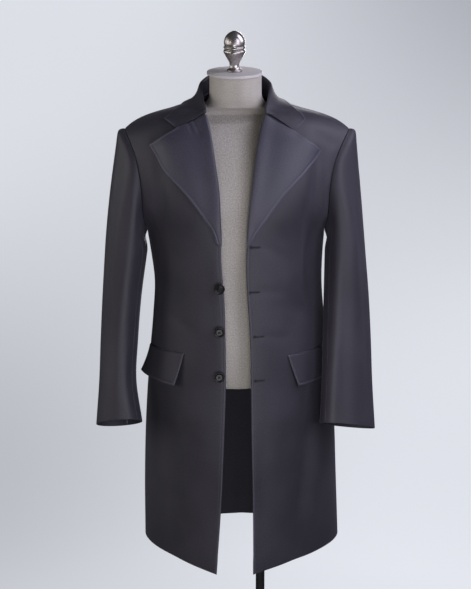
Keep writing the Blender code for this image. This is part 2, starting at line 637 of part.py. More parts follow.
def sleeve_ring(row, sign, share):
    """A point round the arm: 0 is its outer side, 0.25 the front, 0.5 the side next to the body."""
    angle = 2 * math.pi * share
    across = math.cos(angle)
    x = (row.outer + row.inner) / 2 + (row.outer - row.inner) / 2 * across
    dy = -row.half_depth * math.sin(angle) + row.skew * across
    z = row.z - row.rise_y * dy - row.rise_x * (row.outer - row.inner) / 2 * across
    return np.array([sign * x, row.middle_y + dy, z])


def build_sleeve(side):
    sign = SIDES[side]
    rows = SLEEVES[side]
    hole = armhole(side)
    top = [HIND_SEAM - 1 + (FRONT_SEAM - HIND_SEAM + 1) * j / TOP_SLEEVE_COLUMNS
           for j in range(TOP_SLEEVE_COLUMNS)]
    under = [FRONT_SEAM + (HIND_SEAM - FRONT_SEAM) * j / UNDER_SLEEVE_COLUMNS
             for j in range(UNDER_SLEEVE_COLUMNS)]
    columns = []
    for share in top + under:
        angle = 2 * math.pi * share
        rings = [sleeve_ring(row, sign, share) for row in rows]
        out = np.array([sign * (0.62 + 0.35 * math.cos(angle)), -0.55 * math.sin(angle),
                        -0.45 + 0.20 * math.cos(angle)])
        out /= np.linalg.norm(out)
        start = hole(share) + out * SEAM_GAP * 1.6
        upward = rings[0] - rings[1]
        upward /= np.linalg.norm(upward)
        reach = np.linalg.norm(rings[0] - start)
        first = start + out * (0.018 + 0.012 * (1 - math.cos(angle)) / 2)
        second = rings[0] + upward * reach * 0.42
        head = []
        for i in range(HEAD_STRIPS):
            down = (i / HEAD_STRIPS)**1.5
            ridge = HEAD_RIDGE * down / HEAD_RIDGE_AT * math.exp(1 - down / HEAD_RIDGE_AT)
            ridge *= max(math.cos(angle), 0)**1.5
            head.append(bezier(start, first, second, rings[0], down) + np.array([sign * ridge, 0.0, 0.0]))
        lengths = [np.linalg.norm(b - a) for a, b in zip(rings, rings[1:])]
        stations = np.concatenate([[0.0], np.cumsum(lengths)])
        arm = []
        for k, row in enumerate(rows[:-1]):
            strips = range(row.steps)
            arm += [smooth(stations, rings, stations[k] + lengths[k] * i / row.steps) for i in strips]
        columns.append(head + arm + [rings[-1]])
    outer = np.array(columns).transpose(1, 0, 2)
    middle = outer.mean(axis=1, keepdims=True)
    normals = grid_normals(outer, outer - middle, closed=True)
    inner = outer - normals * SLEEVE_CLOTH
    pieces = {"sleeve_top_": range(TOP_SLEEVE_COLUMNS + 1),
              "sleeve_under_": range(TOP_SLEEVE_COLUMNS, outer.shape[1] + 1)}
    for name, span in pieces.items():
        wanted = [j % outer.shape[1] for j in span]
        skin, lining_side = outer[:, wanted], inner[:, wanted]
        pull_in(skin, first=True, last=True)
        pull_in(lining_side, first=True, last=True)
        add_wall(name + side, skin, lining_side, WOOL)


def lapel_point(panel, side, row, share, notch):
    """A point of the lapel before it is lifted: (u, v) on the front it lies on."""
    sign = SIDES[side]
    edge_x = row.edge_x_right if side == "right" else row.edge_x_left
    edge_z = row.edge_z_right if side == "right" else row.edge_z_left
    v_roll = panel.roll(row.roll_z)
    roll = panel.at(0.0, v_roll)
    x = roll[0] + (sign * edge_x - roll[0]) * share
    z = roll[2] + (edge_z - roll[2]) * share + NOTCH_RISE * notch * (1 - abs(2 * share - 1))
    return panel.find(share * 0.6, v_roll, x, z=z)


def between(low, high, share):
    """A table row part of the way from one row to the next."""
    return low._make([low.name] + [a + (b - a) * share for a, b in zip(low[1:], high[1:])])


def build_lapel(side, panel):
    columns = [j / LAPEL_COLUMNS for j in range(LAPEL_COLUMNS + 1)]
    rows = []
    for low, high in zip(LAPEL_ROWS, LAPEL_ROWS[1:]):
        rows += [between(low, high, i / low.steps) for i in range(low.steps)]
    rows.append(LAPEL_ROWS[-1])
    surface, normals = [], []
    for k, row in enumerate(rows):
        notch = (k / (len(rows) - 1))**4
        places = [lapel_point(panel, side, row, s, notch) for s in columns]
        surface.append([panel.at(*place) for place in places])
        normals.append([panel.normal(*place) for place in places])
    surface, normals = np.array(surface), np.array(normals)
    pull_in(surface, last=True, rows=True)
    belly = np.array([math.sin(math.pi * s)**0.8 if 0 < s < 1 else 0.0 for s in columns])
    wide = np.linspace(0.15, 1.0, len(rows))
    lift = LAY_GAP + 0.0004 + LAPEL_BELLY * np.outer(wide, belly)
    under = surface + normals * lift[:, :, None]
    add_wall("lapel_" + side, under + normals * CLOTH, under, LAPEL_WOOL)


def collar_profile(row, sign, panel, guess):
    """Nine points across the collar: up the stand, over its fold and down the fall."""
    flip = np.array([sign, 1.0, 1.0])
    seam, fold, edge = (np.array(p) * flip for p in (row.seam, row.fold, row.edge))
    up = np.array([0.0, 0.0, 1.0])
    lift = LAY_GAP + CLOTH / 2
    edge = panel.lay(*guess, edge, lift, flat=True)
    out = edge - fold
    out[2] = 0.0
    out /= np.linalg.norm(out)
    foot = panel.lay(*guess, seam, STAND_LIFT, flat=True)
    near = fold - (out + up) * FOLD_RADIUS
    far = fold + (out - up) * FOLD_RADIUS
    sag = (out + up) * COLLAR_SAG
    fall = [far + (edge - far) * share - sag * math.sin(math.pi * share) for share in (0.25, 0.5, 0.75)]
    folded = [foot, (foot + near) / 2, near, fold, far] + [panel.lay(*guess, p, lift) for p in fall] + [edge]
    if row.folded == 1:
        return np.array(folded)
    shares = (0.0, 0.06, 0.12, 0.18, 0.26, 0.42, 0.60, 0.80)
    start = panel.lay(*guess, seam, lift, flat=True)
    flat = [panel.lay(*guess, start + (edge - start) * share, lift, flat=True) for share in shares] + [edge]
    return np.array(folded) * row.folded + np.array(flat) * (1 - row.folded)


def collar_half(side, panels):
    """The collar's cross rows from the centre back to one notch."""
    notch = CollarRow("notch", NOTCH[side], NOTCH[side], COLLAR_TIP[side], 0, 1)
    rows = COLLAR_HALF + [notch]
    numbers = [np.concatenate([row.seam, row.fold, row.edge]) for row in rows]
    stations = range(len(rows))
    made = []
    for k, row in enumerate(rows):
        for i in range(row.steps if k < len(rows) - 1 else 1):
            at = k + i / row.steps
            values = smooth(stations, numbers, at)
            here = row._replace(seam=values[:3], fold=values[3:6], edge=values[6:])
            on_back = values[7] > shoulder_seam(1.0, 0.25)[1]
            panel = panels["back"] if on_back else panels[side]
            top = panel.stations[-1]
            guess = (0.5 + SIDES[side] * 0.15, top * 0.97) if on_back else (0.3, top * 0.95)
            made.append(collar_profile(here, SIDES[side], panel, guess))
    return made


def build_collar(panels):
    right, left = (collar_half(side, panels) for side in SIDES)
    middle = np.array(list(reversed(right)) + left[1:])
    pull_in(middle, first=True, last=True, rows=True)
    normals = grid_normals(middle, np.array([0.0, 0.0, 1.0]))
    half = normals * CLOTH / 2
    add_wall("collar", middle + half, middle - half, LAPEL_WOOL)


def build_flap(side, panel):
    sign = SIDES[side]
    guess = panel.find(0.4, panel.roll(FLAP_TOP_Z), sign * FLAP_FRONT_X, z=FLAP_TOP_Z)
    surface, normals, lift = [], [], []
    for i in range(FLAP_ROWS + 1):
        down = i / FLAP_ROWS
        z = FLAP_TOP_Z + (FLAP_LOW_Z - FLAP_TOP_Z) * down
        front_x = FLAP_FRONT_X + FLAP_SLANT[side] * down
        u_front, v = panel.find(*guess, sign * front_x, z=z)
        fine = [panel.at(u_front + (1 - u_front) * k / 40, v) for k in range(41)]
        lengths = np.concatenate([[0.0], np.cumsum([np.linalg.norm(b - a) for a, b in zip(fine, fine[1:])])])
        length = FLAP_LENGTH[side] - FLAP_SLANT[side] * down
        shares = [j / FLAP_COLUMNS for j in range(FLAP_COLUMNS + 1)]
        us = [u_front + (1 - u_front) * np.interp(length * s, lengths, np.arange(41) / 40) for s in shares]
        fall = FLAP_FALL_TOP[side] + (FLAP_FALL_LOW[side] - FLAP_FALL_TOP[side]) * down
        line = [panel.at(u, v - fall * s) for u, s in zip(us, shares)]
        surface.append(line)
        normals.append([panel.normal(u, v - fall * s) for u, s in zip(us, shares)])
        flare = FLAP_FLARE[side] * down**1.4
        corner = FLAP_CORNER_FLARE[side] * down**2
        lift.append([FLAP_LIFT + fold_push("front_" + side, p) + flare + corner * s**3
                     for s, p in zip(shares, line)])
    surface, normals, lift = np.array(surface), np.array(normals), np.array(lift)[:, :, None]
    under = surface + normals * lift
    add_wall("flap_" + side, under + normals * CLOTH, under, WOOL)


def build_button(name, height, panel):
    """A dished four-hole button's blank, turned about its thread shank."""
    shank_radius, shank_height = SHANK
    rim = BUTTON_RADIUS
    profile = [(shank_radius, 0.0), (shank_radius, shank_height), (rim * 0.80, shank_height + 0.0004),
               (rim, shank_height + 0.0017), (rim * 0.985, shank_height + 0.0029),
               (rim * 0.87, shank_height + 0.0036), (rim * 0.72, shank_height + 0.0030),
               (rim * 0.55, shank_height + 0.0023)]
    vertices, faces = turned(profile, 20, (0.0, 0.0))
    u, v = panel.find(0.05, panel.roll(height), -BUTTON_X, z=height)
    foot, out = panel.at(u, v), panel.normal(u, v)
    side = np.array([1.0, 0.0, 0.0])
    axis = out * math.cos(BUTTON_LEAN) + side * math.sin(BUTTON_LEAN)
    axis /= np.linalg.norm(axis)
    up = np.cross(axis, side)
    up /= np.linalg.norm(up)
    across = np.cross(up, axis)
    place = foot + out * (SEAM_GAP + shank_radius * math.sin(BUTTON_LEAN))
    points = [place + across * x + up * y + axis * z for x, y, z in vertices]
    add_solid("button_" + name, points, faces, HORN)


def torso_ring(z, half_width, front_y, back_y):
    middle = (front_y + back_y) / 2
    half_depth = (back_y - front_y) / 2
    ring = []
    for k in range(TORSO_SEGMENTS):
        angle = 2 * math.pi * k / TORSO_SEGMENTS
        ring.append((half_width * math.cos(angle), middle + half_depth * math.sin(angle), z))
    return ring


def build_form():
    rings = [torso_ring(*row[1:]) for row in TORSO_ROWS]
    drop = CLOTH + FORM_CLEARANCE
    for x, front_y, back_y in zip(SLOPE_XS, SLOPE_FRONT_Y, SLOPE_BACK_Y):
        share = (x - NECK_POINT[0]) / (SHOULDER_X[LOWER_SHOULDER] - NECK_POINT[0])
        point = shoulder_seam(LOWER_SHOULDER, share) - shoulder_normal(LOWER_SHOULDER, share) * drop
        rings.append(torso_ring(point[2], abs(point[0]), front_y, back_y))
    rings += [torso_ring(*row[1:]) for row in NECK_ROWS]
    n = TORSO_SEGMENTS
    faces = []
    for i in range(len(rings) - 1):
        for k in range(n):
            m = (k + 1) % n
            faces.append([i * n + k, i * n + m, (i + 1) * n + m, (i + 1) * n + k])
    faces.append(list(reversed(range(n))))
    faces.append(list(range((len(rings) - 1) * n, len(rings) * n)))
    add_solid("form_torso", [p for ring in rings for p in ring], faces, JERSEY)
    cap_low = NECK_ROWS[-1].z + SEAM_GAP
    cap = [(CAP_RADIUS - 0.0015, cap_low), (CAP_RADIUS, cap_low + 0.0015), (CAP_RADIUS, CAP_TOP_Z - 0.0015),
           (CAP_RADIUS - 0.0015, CAP_TOP_Z)]
    add_solid("form_neck_cap", *turned(cap, 32, (FORM_CENTRE_X, 0.0)), BOARD)
    finial = [(r, FINIAL_BASE_Z + h) for r, h in FINIAL_PROFILE]
    add_solid("form_finial", *turned(finial, 20, (FORM_CENTRE_X, 0.0)), AGED_SILVER)
    torso_foot = TORSO_ROWS[0].z
    pole_low = BASE_HEIGHT + SEAM_GAP
    pole_top = torso_foot - SEAM_GAP
    pole = [(POLE_RADIUS, pole_low), (POLE_RADIUS, pole_top - FLANGE_THICKNESS - 0.004),
            (POLE_RADIUS + 0.006, pole_top - FLANGE_THICKNESS), (FLANGE_RADIUS, pole_top - FLANGE_THICKNESS),
            (FLANGE_RADIUS, pole_top)]
    add_solid("stand_pole", *turned(pole, 24, (POLE_X, 0.0)), DARK_STEEL)
    base = [(BASE_RADIUS, 0.0), (BASE_RADIUS, BASE_EDGE - 0.002), (BASE_RADIUS - 0.003, BASE_EDGE),
            (BASE_RADIUS * 0.60, BASE_EDGE + 0.008), (BASE_RADIUS * 0.16, BASE_HEIGHT - 0.006),
            (BASE_RADIUS * 0.13, BASE_HEIGHT)]
    add_solid("stand_base", *turned(base, 48, (POLE_X, 0.0)), DARK_STEEL)


def main():
    for old in list(bpy.data.objects):
        bpy.data.objects.remove(old, do_unlink=True)
    panels = {side: build_front(side) for side in SIDES}
    panels["back"] = build_back()
    for side in SIDES:
        build_sleeve(side)
        build_lapel(side, panels[side])
        build_flap(side, panels[side])
    build_collar(panels)
    for name, height in BUTTON_HEIGHTS.items():
        build_button(name, height, panels["right"])
    build_form()


main()
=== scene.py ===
# %% [markdown]
# # A long frock coat on a dress form
#
# The coat is cut in wool worsted: two fronts, a back, two-piece sleeves, a collar, lapels and two
# pocket flaps. It hangs open on a limbless dress form with an acorn finial and a round base.
# Every cloth piece here is a thin shell whose form follows the rigid frame's, with folds given one
# by one. Lengths are in metres, +Z is up, the coat's front faces -Y and the wearer's left is +X.

# %% The imported frame
import math
from collections import namedtuple

import bpy
import numpy as np
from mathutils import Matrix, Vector


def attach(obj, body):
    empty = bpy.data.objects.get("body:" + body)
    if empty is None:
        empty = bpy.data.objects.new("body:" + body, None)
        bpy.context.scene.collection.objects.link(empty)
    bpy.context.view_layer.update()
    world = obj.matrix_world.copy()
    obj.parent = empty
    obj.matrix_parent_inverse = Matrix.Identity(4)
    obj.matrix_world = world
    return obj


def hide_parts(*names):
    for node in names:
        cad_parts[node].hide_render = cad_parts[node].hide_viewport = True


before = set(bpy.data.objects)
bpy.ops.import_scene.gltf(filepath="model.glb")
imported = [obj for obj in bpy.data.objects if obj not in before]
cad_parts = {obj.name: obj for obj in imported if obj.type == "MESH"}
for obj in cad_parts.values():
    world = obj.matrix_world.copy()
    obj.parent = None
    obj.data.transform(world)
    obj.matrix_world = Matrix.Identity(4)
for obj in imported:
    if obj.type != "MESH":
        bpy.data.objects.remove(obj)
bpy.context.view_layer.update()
SIDES = {"right": -1.0, "left": 1.0}
print("frame nodes:", len(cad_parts))

# %% [markdown]
# ## How the cloth is described
#
# A tailor drafts a coat from a few measured levels: hem, hip, waist, chest, shoulder. The tables
# below do the same. Each row gives a level's height, where the front edge or roll line is, and where
# the side seam or armhole is. A smooth curve through the rows makes the panel.

# %% Levels of the coat
CLOTH = 0.0024
SLEEVE_CLOTH = 0.0020
NECK_POINT = (0.075, 0.034, 1.4250)
SHOULDER_X = {-1.0: 0.2370, 1.0: 0.2430}
SHOULDER_Y = 0.004
SHOULDER_SLOPE = {-1.0: 0.205, 1.0: 0.198}
SHOULDER_DROOP = 0.021
DROOP_POWER = 6

Side = namedtuple("Side", "name z x_right x_left y")
SIDE_SEAM = [
    Side("hem",         0.428, 0.2050, 0.2322, 0.030),
    Side("knee",        0.565, 0.2045, 0.2265, 0.030),
    Side("thigh",       0.730, 0.1990, 0.2190, 0.030),
    Side("seat",        0.867, 0.1890, 0.2050, 0.030),
    Side("hip",         0.950, 0.1815, 0.1950, 0.028),
    Side("waist",       1.030, 0.1775, 0.1890, 0.026),
    Side("ribs",        1.090, 0.1840, 0.1900, 0.021),
    Side("underarm",    1.140, 0.1910, 0.1930, 0.014),
]
FRONT_ARMHOLE = [
    Side("chest low",   1.190, 0.1980, 0.1985, -0.046),
    Side("chest",       1.250, 0.2005, 0.2010, -0.065),
    Side("chest high",  1.308, 0.2090, 0.2110, -0.058),
    Side("collarbone",  1.342, 0.2215, 0.2255, -0.038),
    Side("gorge",       1.358, 0.2300, 0.2350, -0.022),
    Side("neck side",   1.367, 0.2350, 0.2408, -0.008),
]
BACK_ARMHOLE = [
    Side("blade low",   1.180, 0.1985, 0.1995, 0.050),
    Side("blade",       1.232, 0.2060, 0.2065, 0.076),
    Side("blade high",  1.285, 0.2100, 0.2110, 0.079),
    Side("yoke",        1.330, 0.2190, 0.2225, 0.062),
    Side("yoke high",   1.353, 0.2290, 0.2340, 0.036),
    Side("nape",        1.365, 0.2345, 0.2400, 0.018),
]
FrontRow = namedtuple("FrontRow", "name edge_z edge_x_right edge_x_left edge_y lead turn reach lift")
FRONT_ROWS = [
    FrontRow("hem",         0.416, 0.0425, 0.0400, -0.185, 40, 90, 0.30, 0.000),
    FrontRow("knee",        0.557, 0.0325, 0.0386, -0.180, 30, 90, 0.36, 0.000),
    FrontRow("thigh",       0.730, 0.0247, 0.0350, -0.175, 16, 90, 0.40, 0.000),
    FrontRow("seat",        0.867, 0.0205, 0.0328, -0.170,  6, 90, 0.42, 0.000),
    FrontRow("hip",         0.955, 0.0214, 0.0310, -0.165,  2, 90, 0.42, 0.000),
    FrontRow("waist",       1.035, 0.0235, 0.0255, -0.160,  0, 90, 0.42, 0.000),
    FrontRow("ribs",        1.110, 0.0295, 0.0225, -0.153,  0, 90, 0.42, 0.000),
    FrontRow("underarm",    1.165, 0.0305, 0.0255, -0.149,  0, 90, 0.42, 0.000),
    FrontRow("chest low",   1.215, 0.0340, 0.0300, -0.146,  0, 60, 0.42, 0.000),
    FrontRow("chest",       1.265, 0.0367, 0.0360, -0.139,  0, 52, 0.42, 0.000),
    FrontRow("chest high",  1.330, 0.0461, 0.0445, -0.122,  0, 46, 0.42, 0.004),
    FrontRow("collarbone",  1.380, 0.0545, 0.0530, -0.097,  0, 40, 0.42, 0.012),
    FrontRow("gorge",       1.416, 0.0645, 0.0640, -0.062,  0, 30, 0.42, 0.024),
    FrontRow("neck side",   1.424, 0.0705, 0.0705, -0.014,  0, 12, 0.42, 0.036),
]
BackRow = namedtuple("BackRow", "name centre_z centre_y lead turn reach lift")
BACK_ROWS = [
    BackRow("hem",         0.426, 0.152, 12, 90, 0.36, 0.000),
    BackRow("knee",        0.565, 0.149,  8, 90, 0.40, 0.000),
    BackRow("thigh",       0.730, 0.143,  4, 90, 0.42, 0.000),
    BackRow("seat",        0.867, 0.132,  0, 90, 0.42, 0.000),
    BackRow("hip",         0.950, 0.116,  0, 90, 0.42, 0.000),
    BackRow("waist",       1.030, 0.104,  0, 90, 0.42, 0.000),
    BackRow("ribs",        1.095, 0.108,  0, 90, 0.42, 0.000),
    BackRow("underarm",    1.150, 0.117,  0, 90, 0.42, 0.000),
    BackRow("blade low",   1.205, 0.126,  0, 60, 0.42, 0.000),
    BackRow("blade",       1.265, 0.131,  0, 52, 0.42, 0.000),
    BackRow("blade high",  1.325, 0.128,  0, 50, 0.42, 0.004),
    BackRow("yoke",        1.375, 0.118,  0, 44, 0.42, 0.012),
    BackRow("yoke high",   1.410, 0.106,  0, 34, 0.42, 0.026),
    BackRow("nape",        1.432, 0.096,  0, 16, 0.42, 0.036),
]
NAPE = (0.0, 0.088, 1.4470)
NECK_SHARE = 1 / 3
START_REACH = 0.38
LAPEL_BREAK_Z = 1.150      # where the lapel's roll begins
print("levels:", len(FRONT_ROWS), "and", len(BACK_ROWS))

# %% [markdown]
# ## Folds
#
# Worsted hung on a form shows few folds: soft troughs where the chest turns into the armhole, long
# slow waves down the skirts, and short pulls beside buttonholes. Each is one line with a width and a
# depth. A negative depth is a trough. The ones at the back match those that the front shows.

# %% Folds and drag lines
Fold = namedtuple("Fold", "piece top_x top_z low_x low_z width depth")
FOLDS = [
    Fold("front_left",  0.176, 1.310, 0.164, 1.090, 0.015, -0.0090),
    Fold("front_left",  0.194, 1.310, 0.188, 1.130, 0.009, -0.0030),
    Fold("front_left",  0.152, 1.190, 0.156, 1.060, 0.012, -0.0034),
    Fold("front_left",  0.150, 1.120, 0.130, 0.960, 0.030, -0.0030),
    Fold("front_left",  0.170, 0.800, 0.132, 0.460, 0.018, -0.0080),
    Fold("front_left",  0.192, 0.760, 0.168, 0.440, 0.018, 0.0030),
    Fold("front_left",  0.095, 0.760, 0.085, 0.400, 0.035, 0.0035),
    Fold("front_left",  0.205, 1.352, 0.176, 1.372, 0.011, -0.0026),
    Fold("front_left",  0.060, 1.148, 0.092, 1.126, 0.010, -0.0016),
    Fold("front_left",  0.050, 1.052, 0.094, 1.046, 0.008, -0.0014),
    Fold("front_left",  0.056, 0.956, 0.100, 0.945, 0.008, -0.0014),
    Fold("front_left",  0.110, 1.010, 0.160, 0.985, 0.016, -0.0018),
    Fold("front_left",  0.060, 0.700, 0.052, 0.400, 0.016, -0.0012),
    Fold("front_right", -0.164, 1.290, -0.156, 1.080, 0.018, -0.0090),
    Fold("front_right", -0.190, 1.290, -0.182, 1.120, 0.009, -0.0018),
    Fold("front_right", -0.120, 1.110, -0.105, 0.940, 0.030, -0.0030),
    Fold("front_right", -0.150, 0.790, -0.140, 0.420, 0.024, -0.0060),
    Fold("front_right", -0.085, 0.760, -0.080, 0.400, 0.035, 0.0030),
    Fold("front_right", -0.200, 1.350, -0.172, 1.370, 0.012, -0.0016),
    Fold("front_right", -0.060, 1.090, -0.052, 0.900, 0.014, -0.0014),
    Fold("front_right", -0.100, 0.960, -0.150, 0.985, 0.014, -0.0012),
    Fold("back",        0.120, 0.940, 0.145, 0.400, 0.040, -0.0060),
    Fold("back",        0.050, 0.900, 0.065, 0.400, 0.040, 0.0050),
    Fold("back",       -0.045, 0.900, -0.055, 0.400, 0.040, 0.0045),
    Fold("back",       -0.110, 0.940, -0.125, 0.400, 0.040, -0.0060),
    Fold("back",        0.168, 1.270, 0.150, 1.090, 0.022, -0.0040),
    Fold("back",       -0.166, 1.260, -0.148, 1.080, 0.022, -0.0042),
    Fold("back",        0.060, 1.070, 0.140, 1.040, 0.014, -0.0020),
    Fold("back",       -0.050, 1.060, -0.136, 1.030, 0.014, -0.0022),
    Fold("back",        0.006, 0.860, 0.010, 0.400, 0.018, -0.0022),
]
FOLD_FADE = 0.045
HEM_HOLD_Z, HEM_HOLD_RISE, HEM_HOLD_KEEP = 0.45, 0.14, 0.30      # the stitched hem calms the folds


def ease(t):
    return t**2 * (3 - 2 * t)


def near_line(points, start, end, width, fade):
    """1 on a line in X and Z, falling softly to 0 beside it and past its ends."""
    line = np.subtract(end, start)
    length = np.linalg.norm(line)
    line = line / length
    here = points[..., [0, 2]] - np.array(start)
    along = here @ line
    aside = here[..., 0] * line[1] - here[..., 1] * line[0]
    past = np.maximum(-along, 0) + np.maximum(along - length, 0)
    return np.exp(-(aside / width)**2 - (past / min(fade, length / 2))**2)


def fold_push(piece, points):
    """How far the folds of a piece push its cloth out at each point."""
    push = sum(f.depth * near_line(points, (f.top_x, f.top_z), (f.low_x, f.low_z), f.width, FOLD_FADE)
               for f in FOLDS if f.piece == piece)
    calm = ease(np.clip((points[:, 2] - HEM_HOLD_Z) / HEM_HOLD_RISE, 0, 1))
    return push * (HEM_HOLD_KEEP + (1 - HEM_HOLD_KEEP) * calm)


print("folds:", len(FOLDS))

# %% [markdown]
# ## A panel of cloth
#
# Each level of a panel is one curve from the front edge round to the side seam. Blender has NURBS
# surfaces, but they are awkward to lay other pieces on. Here a panel is a function of two numbers:
# `u` runs along a level, `v` is metres up the panel. Any piece that lies on it asks for a point and
# a direction out of the cloth.


# %% Curves
def bezier(p0, p1, p2, p3, t):
    t = np.atleast_1d(t)[:, None]
    return p0 * (1 - t)**3 + 3 * p1 * t * (1 - t)**2 + 3 * p2 * t**2 * (1 - t) + p3 * t**3


def hermite(p, q, leave, arrive, t):
    """A smooth step from p to q that leaves along one vector and arrives along another."""
    return (p * (2 * t**3 - 3 * t**2 + 1) + leave * (t**3 - 2 * t**2 + t)
            + q * (3 * t**2 - 2 * t**3) + arrive * (t**3 - t**2))


def through(places, values, at):
    """Smooth values between the rows of a table."""
    places, points = np.asarray(places, float), np.asarray(values, float)
    at = np.atleast_1d(np.asarray(at, float))
    step = np.diff(places)[:, None]
    slope = np.diff(points, axis=0) / step
    inner = (slope[:-1] * step[1:] + slope[1:] * step[:-1]) / (step[1:] + step[:-1])
    tangent = np.concatenate([slope[:1], inner, slope[-1:]])
    i = np.clip(np.searchsorted(places, at) - 1, 0, len(places) - 2)
    h = step[i]
    t = (at - places[i])[:, None] / h
    return hermite(points[i], points[i + 1], tangent[i] * h, tangent[i + 1] * h, t)


def runs_of(grid):
    """How far along its row each point of a grid is."""
    gaps = np.linalg.norm(np.diff(grid, axis=1), axis=2)
    return np.concatenate([np.zeros((len(grid), 1)), np.cumsum(gaps, axis=1)], axis=1)


def run_of(line):
    return runs_of(line[None])[0]


def unit(vectors):
    return vectors / np.maximum(np.linalg.norm(vectors, axis=-1, keepdims=True), 1e-12)


print("half a smooth step:", hermite(0.0, 1.0, 0.0, 0.0, 0.5))


# %% Seams and levels
def shoulder_seam(sign, share):
    neck_x, neck_y, neck_z = NECK_POINT
    share = np.atleast_1d(share)
    run = (SHOULDER_X[sign] - neck_x) * share
    z = neck_z - SHOULDER_SLOPE[sign] * run - SHOULDER_DROOP * share**DROOP_POWER
    y = neck_y + (SHOULDER_Y - neck_y) * (0.6 * share + 0.4 * share**2)
    return np.column_stack([sign * (neck_x + run), y, z])


def heading(sign, depth, degrees):
    angle = math.radians(degrees)
    return np.array([sign * math.cos(angle), depth * math.sin(angle), 0.0])


def sweep(start, end, row, sign, depth):
    """One level of cloth, from near the middle round to the side."""
    length = abs(end[0] - start[0])
    fall = np.array([0.0, 0.0, start[2] - end[2]])
    first = start + heading(sign, depth, row.lead) * length * START_REACH - fall * START_REACH * 0.6
    second = end - heading(sign, depth, row.turn) * np.linalg.norm(end - start) * row.reach
    second = second + fall * row.reach * 0.6 + np.array([0.0, 0.0, row.lift])
    return lambda t: bezier(start, first, second, end, t)


def side_point(row, side):
    return np.array([SIDES[side] * getattr(row, "x_" + side), row.y, row.z])


print("left shoulder point:", shoulder_seam(1.0, 1.0)[0].round(3))

# %% The panel class
SMALL = 1e-4                             # the step that a panel's slopes are measured with
OUT_STEP, NORMAL_STEP = 0.004, 0.003
SEAM_CALM, SEAM_CALM_LEAST = 0.05, 0.15  # folds fade toward a panel's edges
ROLL_SAMPLES, ROLL_TOP_CUT = 200, 12
FIND_TURNS, NEAREST_TURNS = 9, 10


class Panel:
    """Levels of cloth, smoothed from one to the next, with the piece's folds in it."""

    def __init__(self, name, curves, facing):
        self.name, self.curves, self.facing = name, curves, facing
        self.stations = run_of(np.array([curve(0.5)[0] for curve in curves]))
        self.top = self.stations[-1]

    def base(self, u, v):
        """The panel before its folds."""
        rows = np.stack([curve(u) for curve in self.curves])
        places, last = self.stations, len(self.stations) - 1
        i = np.clip(np.searchsorted(places, v) - 1, 0, last - 1)
        k = np.arange(len(u))

        def slope(a, b):
            return (rows[b, k] - rows[a, k]) / (places[b] - places[a])[:, None]

        here = slope(i, i + 1)
        h = (places[i + 1] - places[i])[:, None]
        low, high = np.maximum(i - 1, 0), np.minimum(i + 2, last)
        before, after = slope(low, low + 1), slope(np.minimum(i + 1, last - 1), high)
        h_low = (places[low + 1] - places[low])[:, None]
        h_high = (places[high] - places[high - 1])[:, None]
        start = np.where((i > 0)[:, None], (before * h + here * h_low) / (h + h_low), here)
        end = np.where((i + 2 <= last)[:, None], (here * h_high + after * h) / (h + h_high), here)
        return hermite(rows[i, k], rows[i + 1, k], start * h, end * h, (v - places[i])[:, None] / h)

    def facing_out(self, where, u, v, step):
        du = where(np.minimum(u + step, 1), v) - where(np.maximum(u - step, 0), v)
        dv = where(u, np.minimum(v + step, self.top)) - where(u, np.maximum(v - step, 0))
        return unit(np.cross(du, dv) * self.facing)

    def at(self, u, v, folds=True):
        u, v = (np.asarray(x, float) for x in (u, v))
        shape = np.broadcast(u, v).shape
        u, v = (np.broadcast_to(x, shape).ravel() for x in (u, v))
        points = self.base(u, v)
        if folds:
            calm = np.clip(np.minimum(u, 1 - u) / SEAM_CALM, SEAM_CALM_LEAST, 1)
            out = self.facing_out(self.base, u, v, OUT_STEP)
            points = points + out * (fold_push(self.name, points) * calm)[:, None]
        return points.reshape(shape + (3,))

    def normal(self, u, v):
        return self.facing_out(self.at, u, v, NORMAL_STEP)

    def roll(self, z):
        """How far up the panel its front edge or roll line has a height."""
        fine = np.linspace(0, self.top, ROLL_SAMPLES)[:-ROLL_TOP_CUT]
        return np.interp(z, self.at(np.zeros_like(fine), fine, folds=False)[:, 2], fine)

    def slopes(self, u, v):
        here = self.at(u, v)
        return here, (self.at(u + SMALL, v) - here) / SMALL, (self.at(u, v + SMALL) - here) / SMALL

    def find(self, u, v, x, z):
        """Where on the panel each wanted X and height is, from a first guess."""
        u, v = np.array(u, float), np.array(v, float)
        for _ in range(FIND_TURNS):
            here, by_u, by_v = (part[..., [0, 2]] for part in self.slopes(u, v))
            dx, dz = x - here[..., 0], z - here[..., 1]
            det = by_u[..., 0] * by_v[..., 1] - by_v[..., 0] * by_u[..., 1]
            u = np.clip(u + (dx * by_v[..., 1] - by_v[..., 0] * dz) / det, 0, 1)
            v = np.clip(v + (by_u[..., 0] * dz - by_u[..., 1] * dx) / det, 0, self.top - SMALL)
        return u, v

    def nearest(self, u, v, points):
        """The panel's closest place to each point, from a first guess."""
        u, v = (np.full(len(points), float(x)) for x in (u, v))
        for _ in range(NEAREST_TURNS):
            here, by_u, by_v = self.slopes(u, v)
            rest = points - here
            a, b, c = (by_u**2).sum(1), (by_u * by_v).sum(1), (by_v**2).sum(1)
            p, q = (by_u * rest).sum(1), (by_v * rest).sum(1)
            det = a * c - b * b
            u = np.clip(u + np.clip((c * p - b * q) / det, -0.1, 0.1), 0, 1 - 2 * SMALL)
            v = np.clip(v + (a * q - b * p) / det, 0, self.top - SMALL)
        return u, v

    def lay(self, guess, points, lift, flat=False):
        """Points moved out until they clear the panel by `lift`, or laid just that far off it."""
        u, v = self.nearest(*guess, points)
        here, out = self.at(u, v), self.normal(u, v)
        if flat:
            return here + out * lift
        height = ((points - here) * out).sum(1)
        return points + out * np.maximum(lift - height, 0)[:, None]


print("made the class", Panel.__name__)


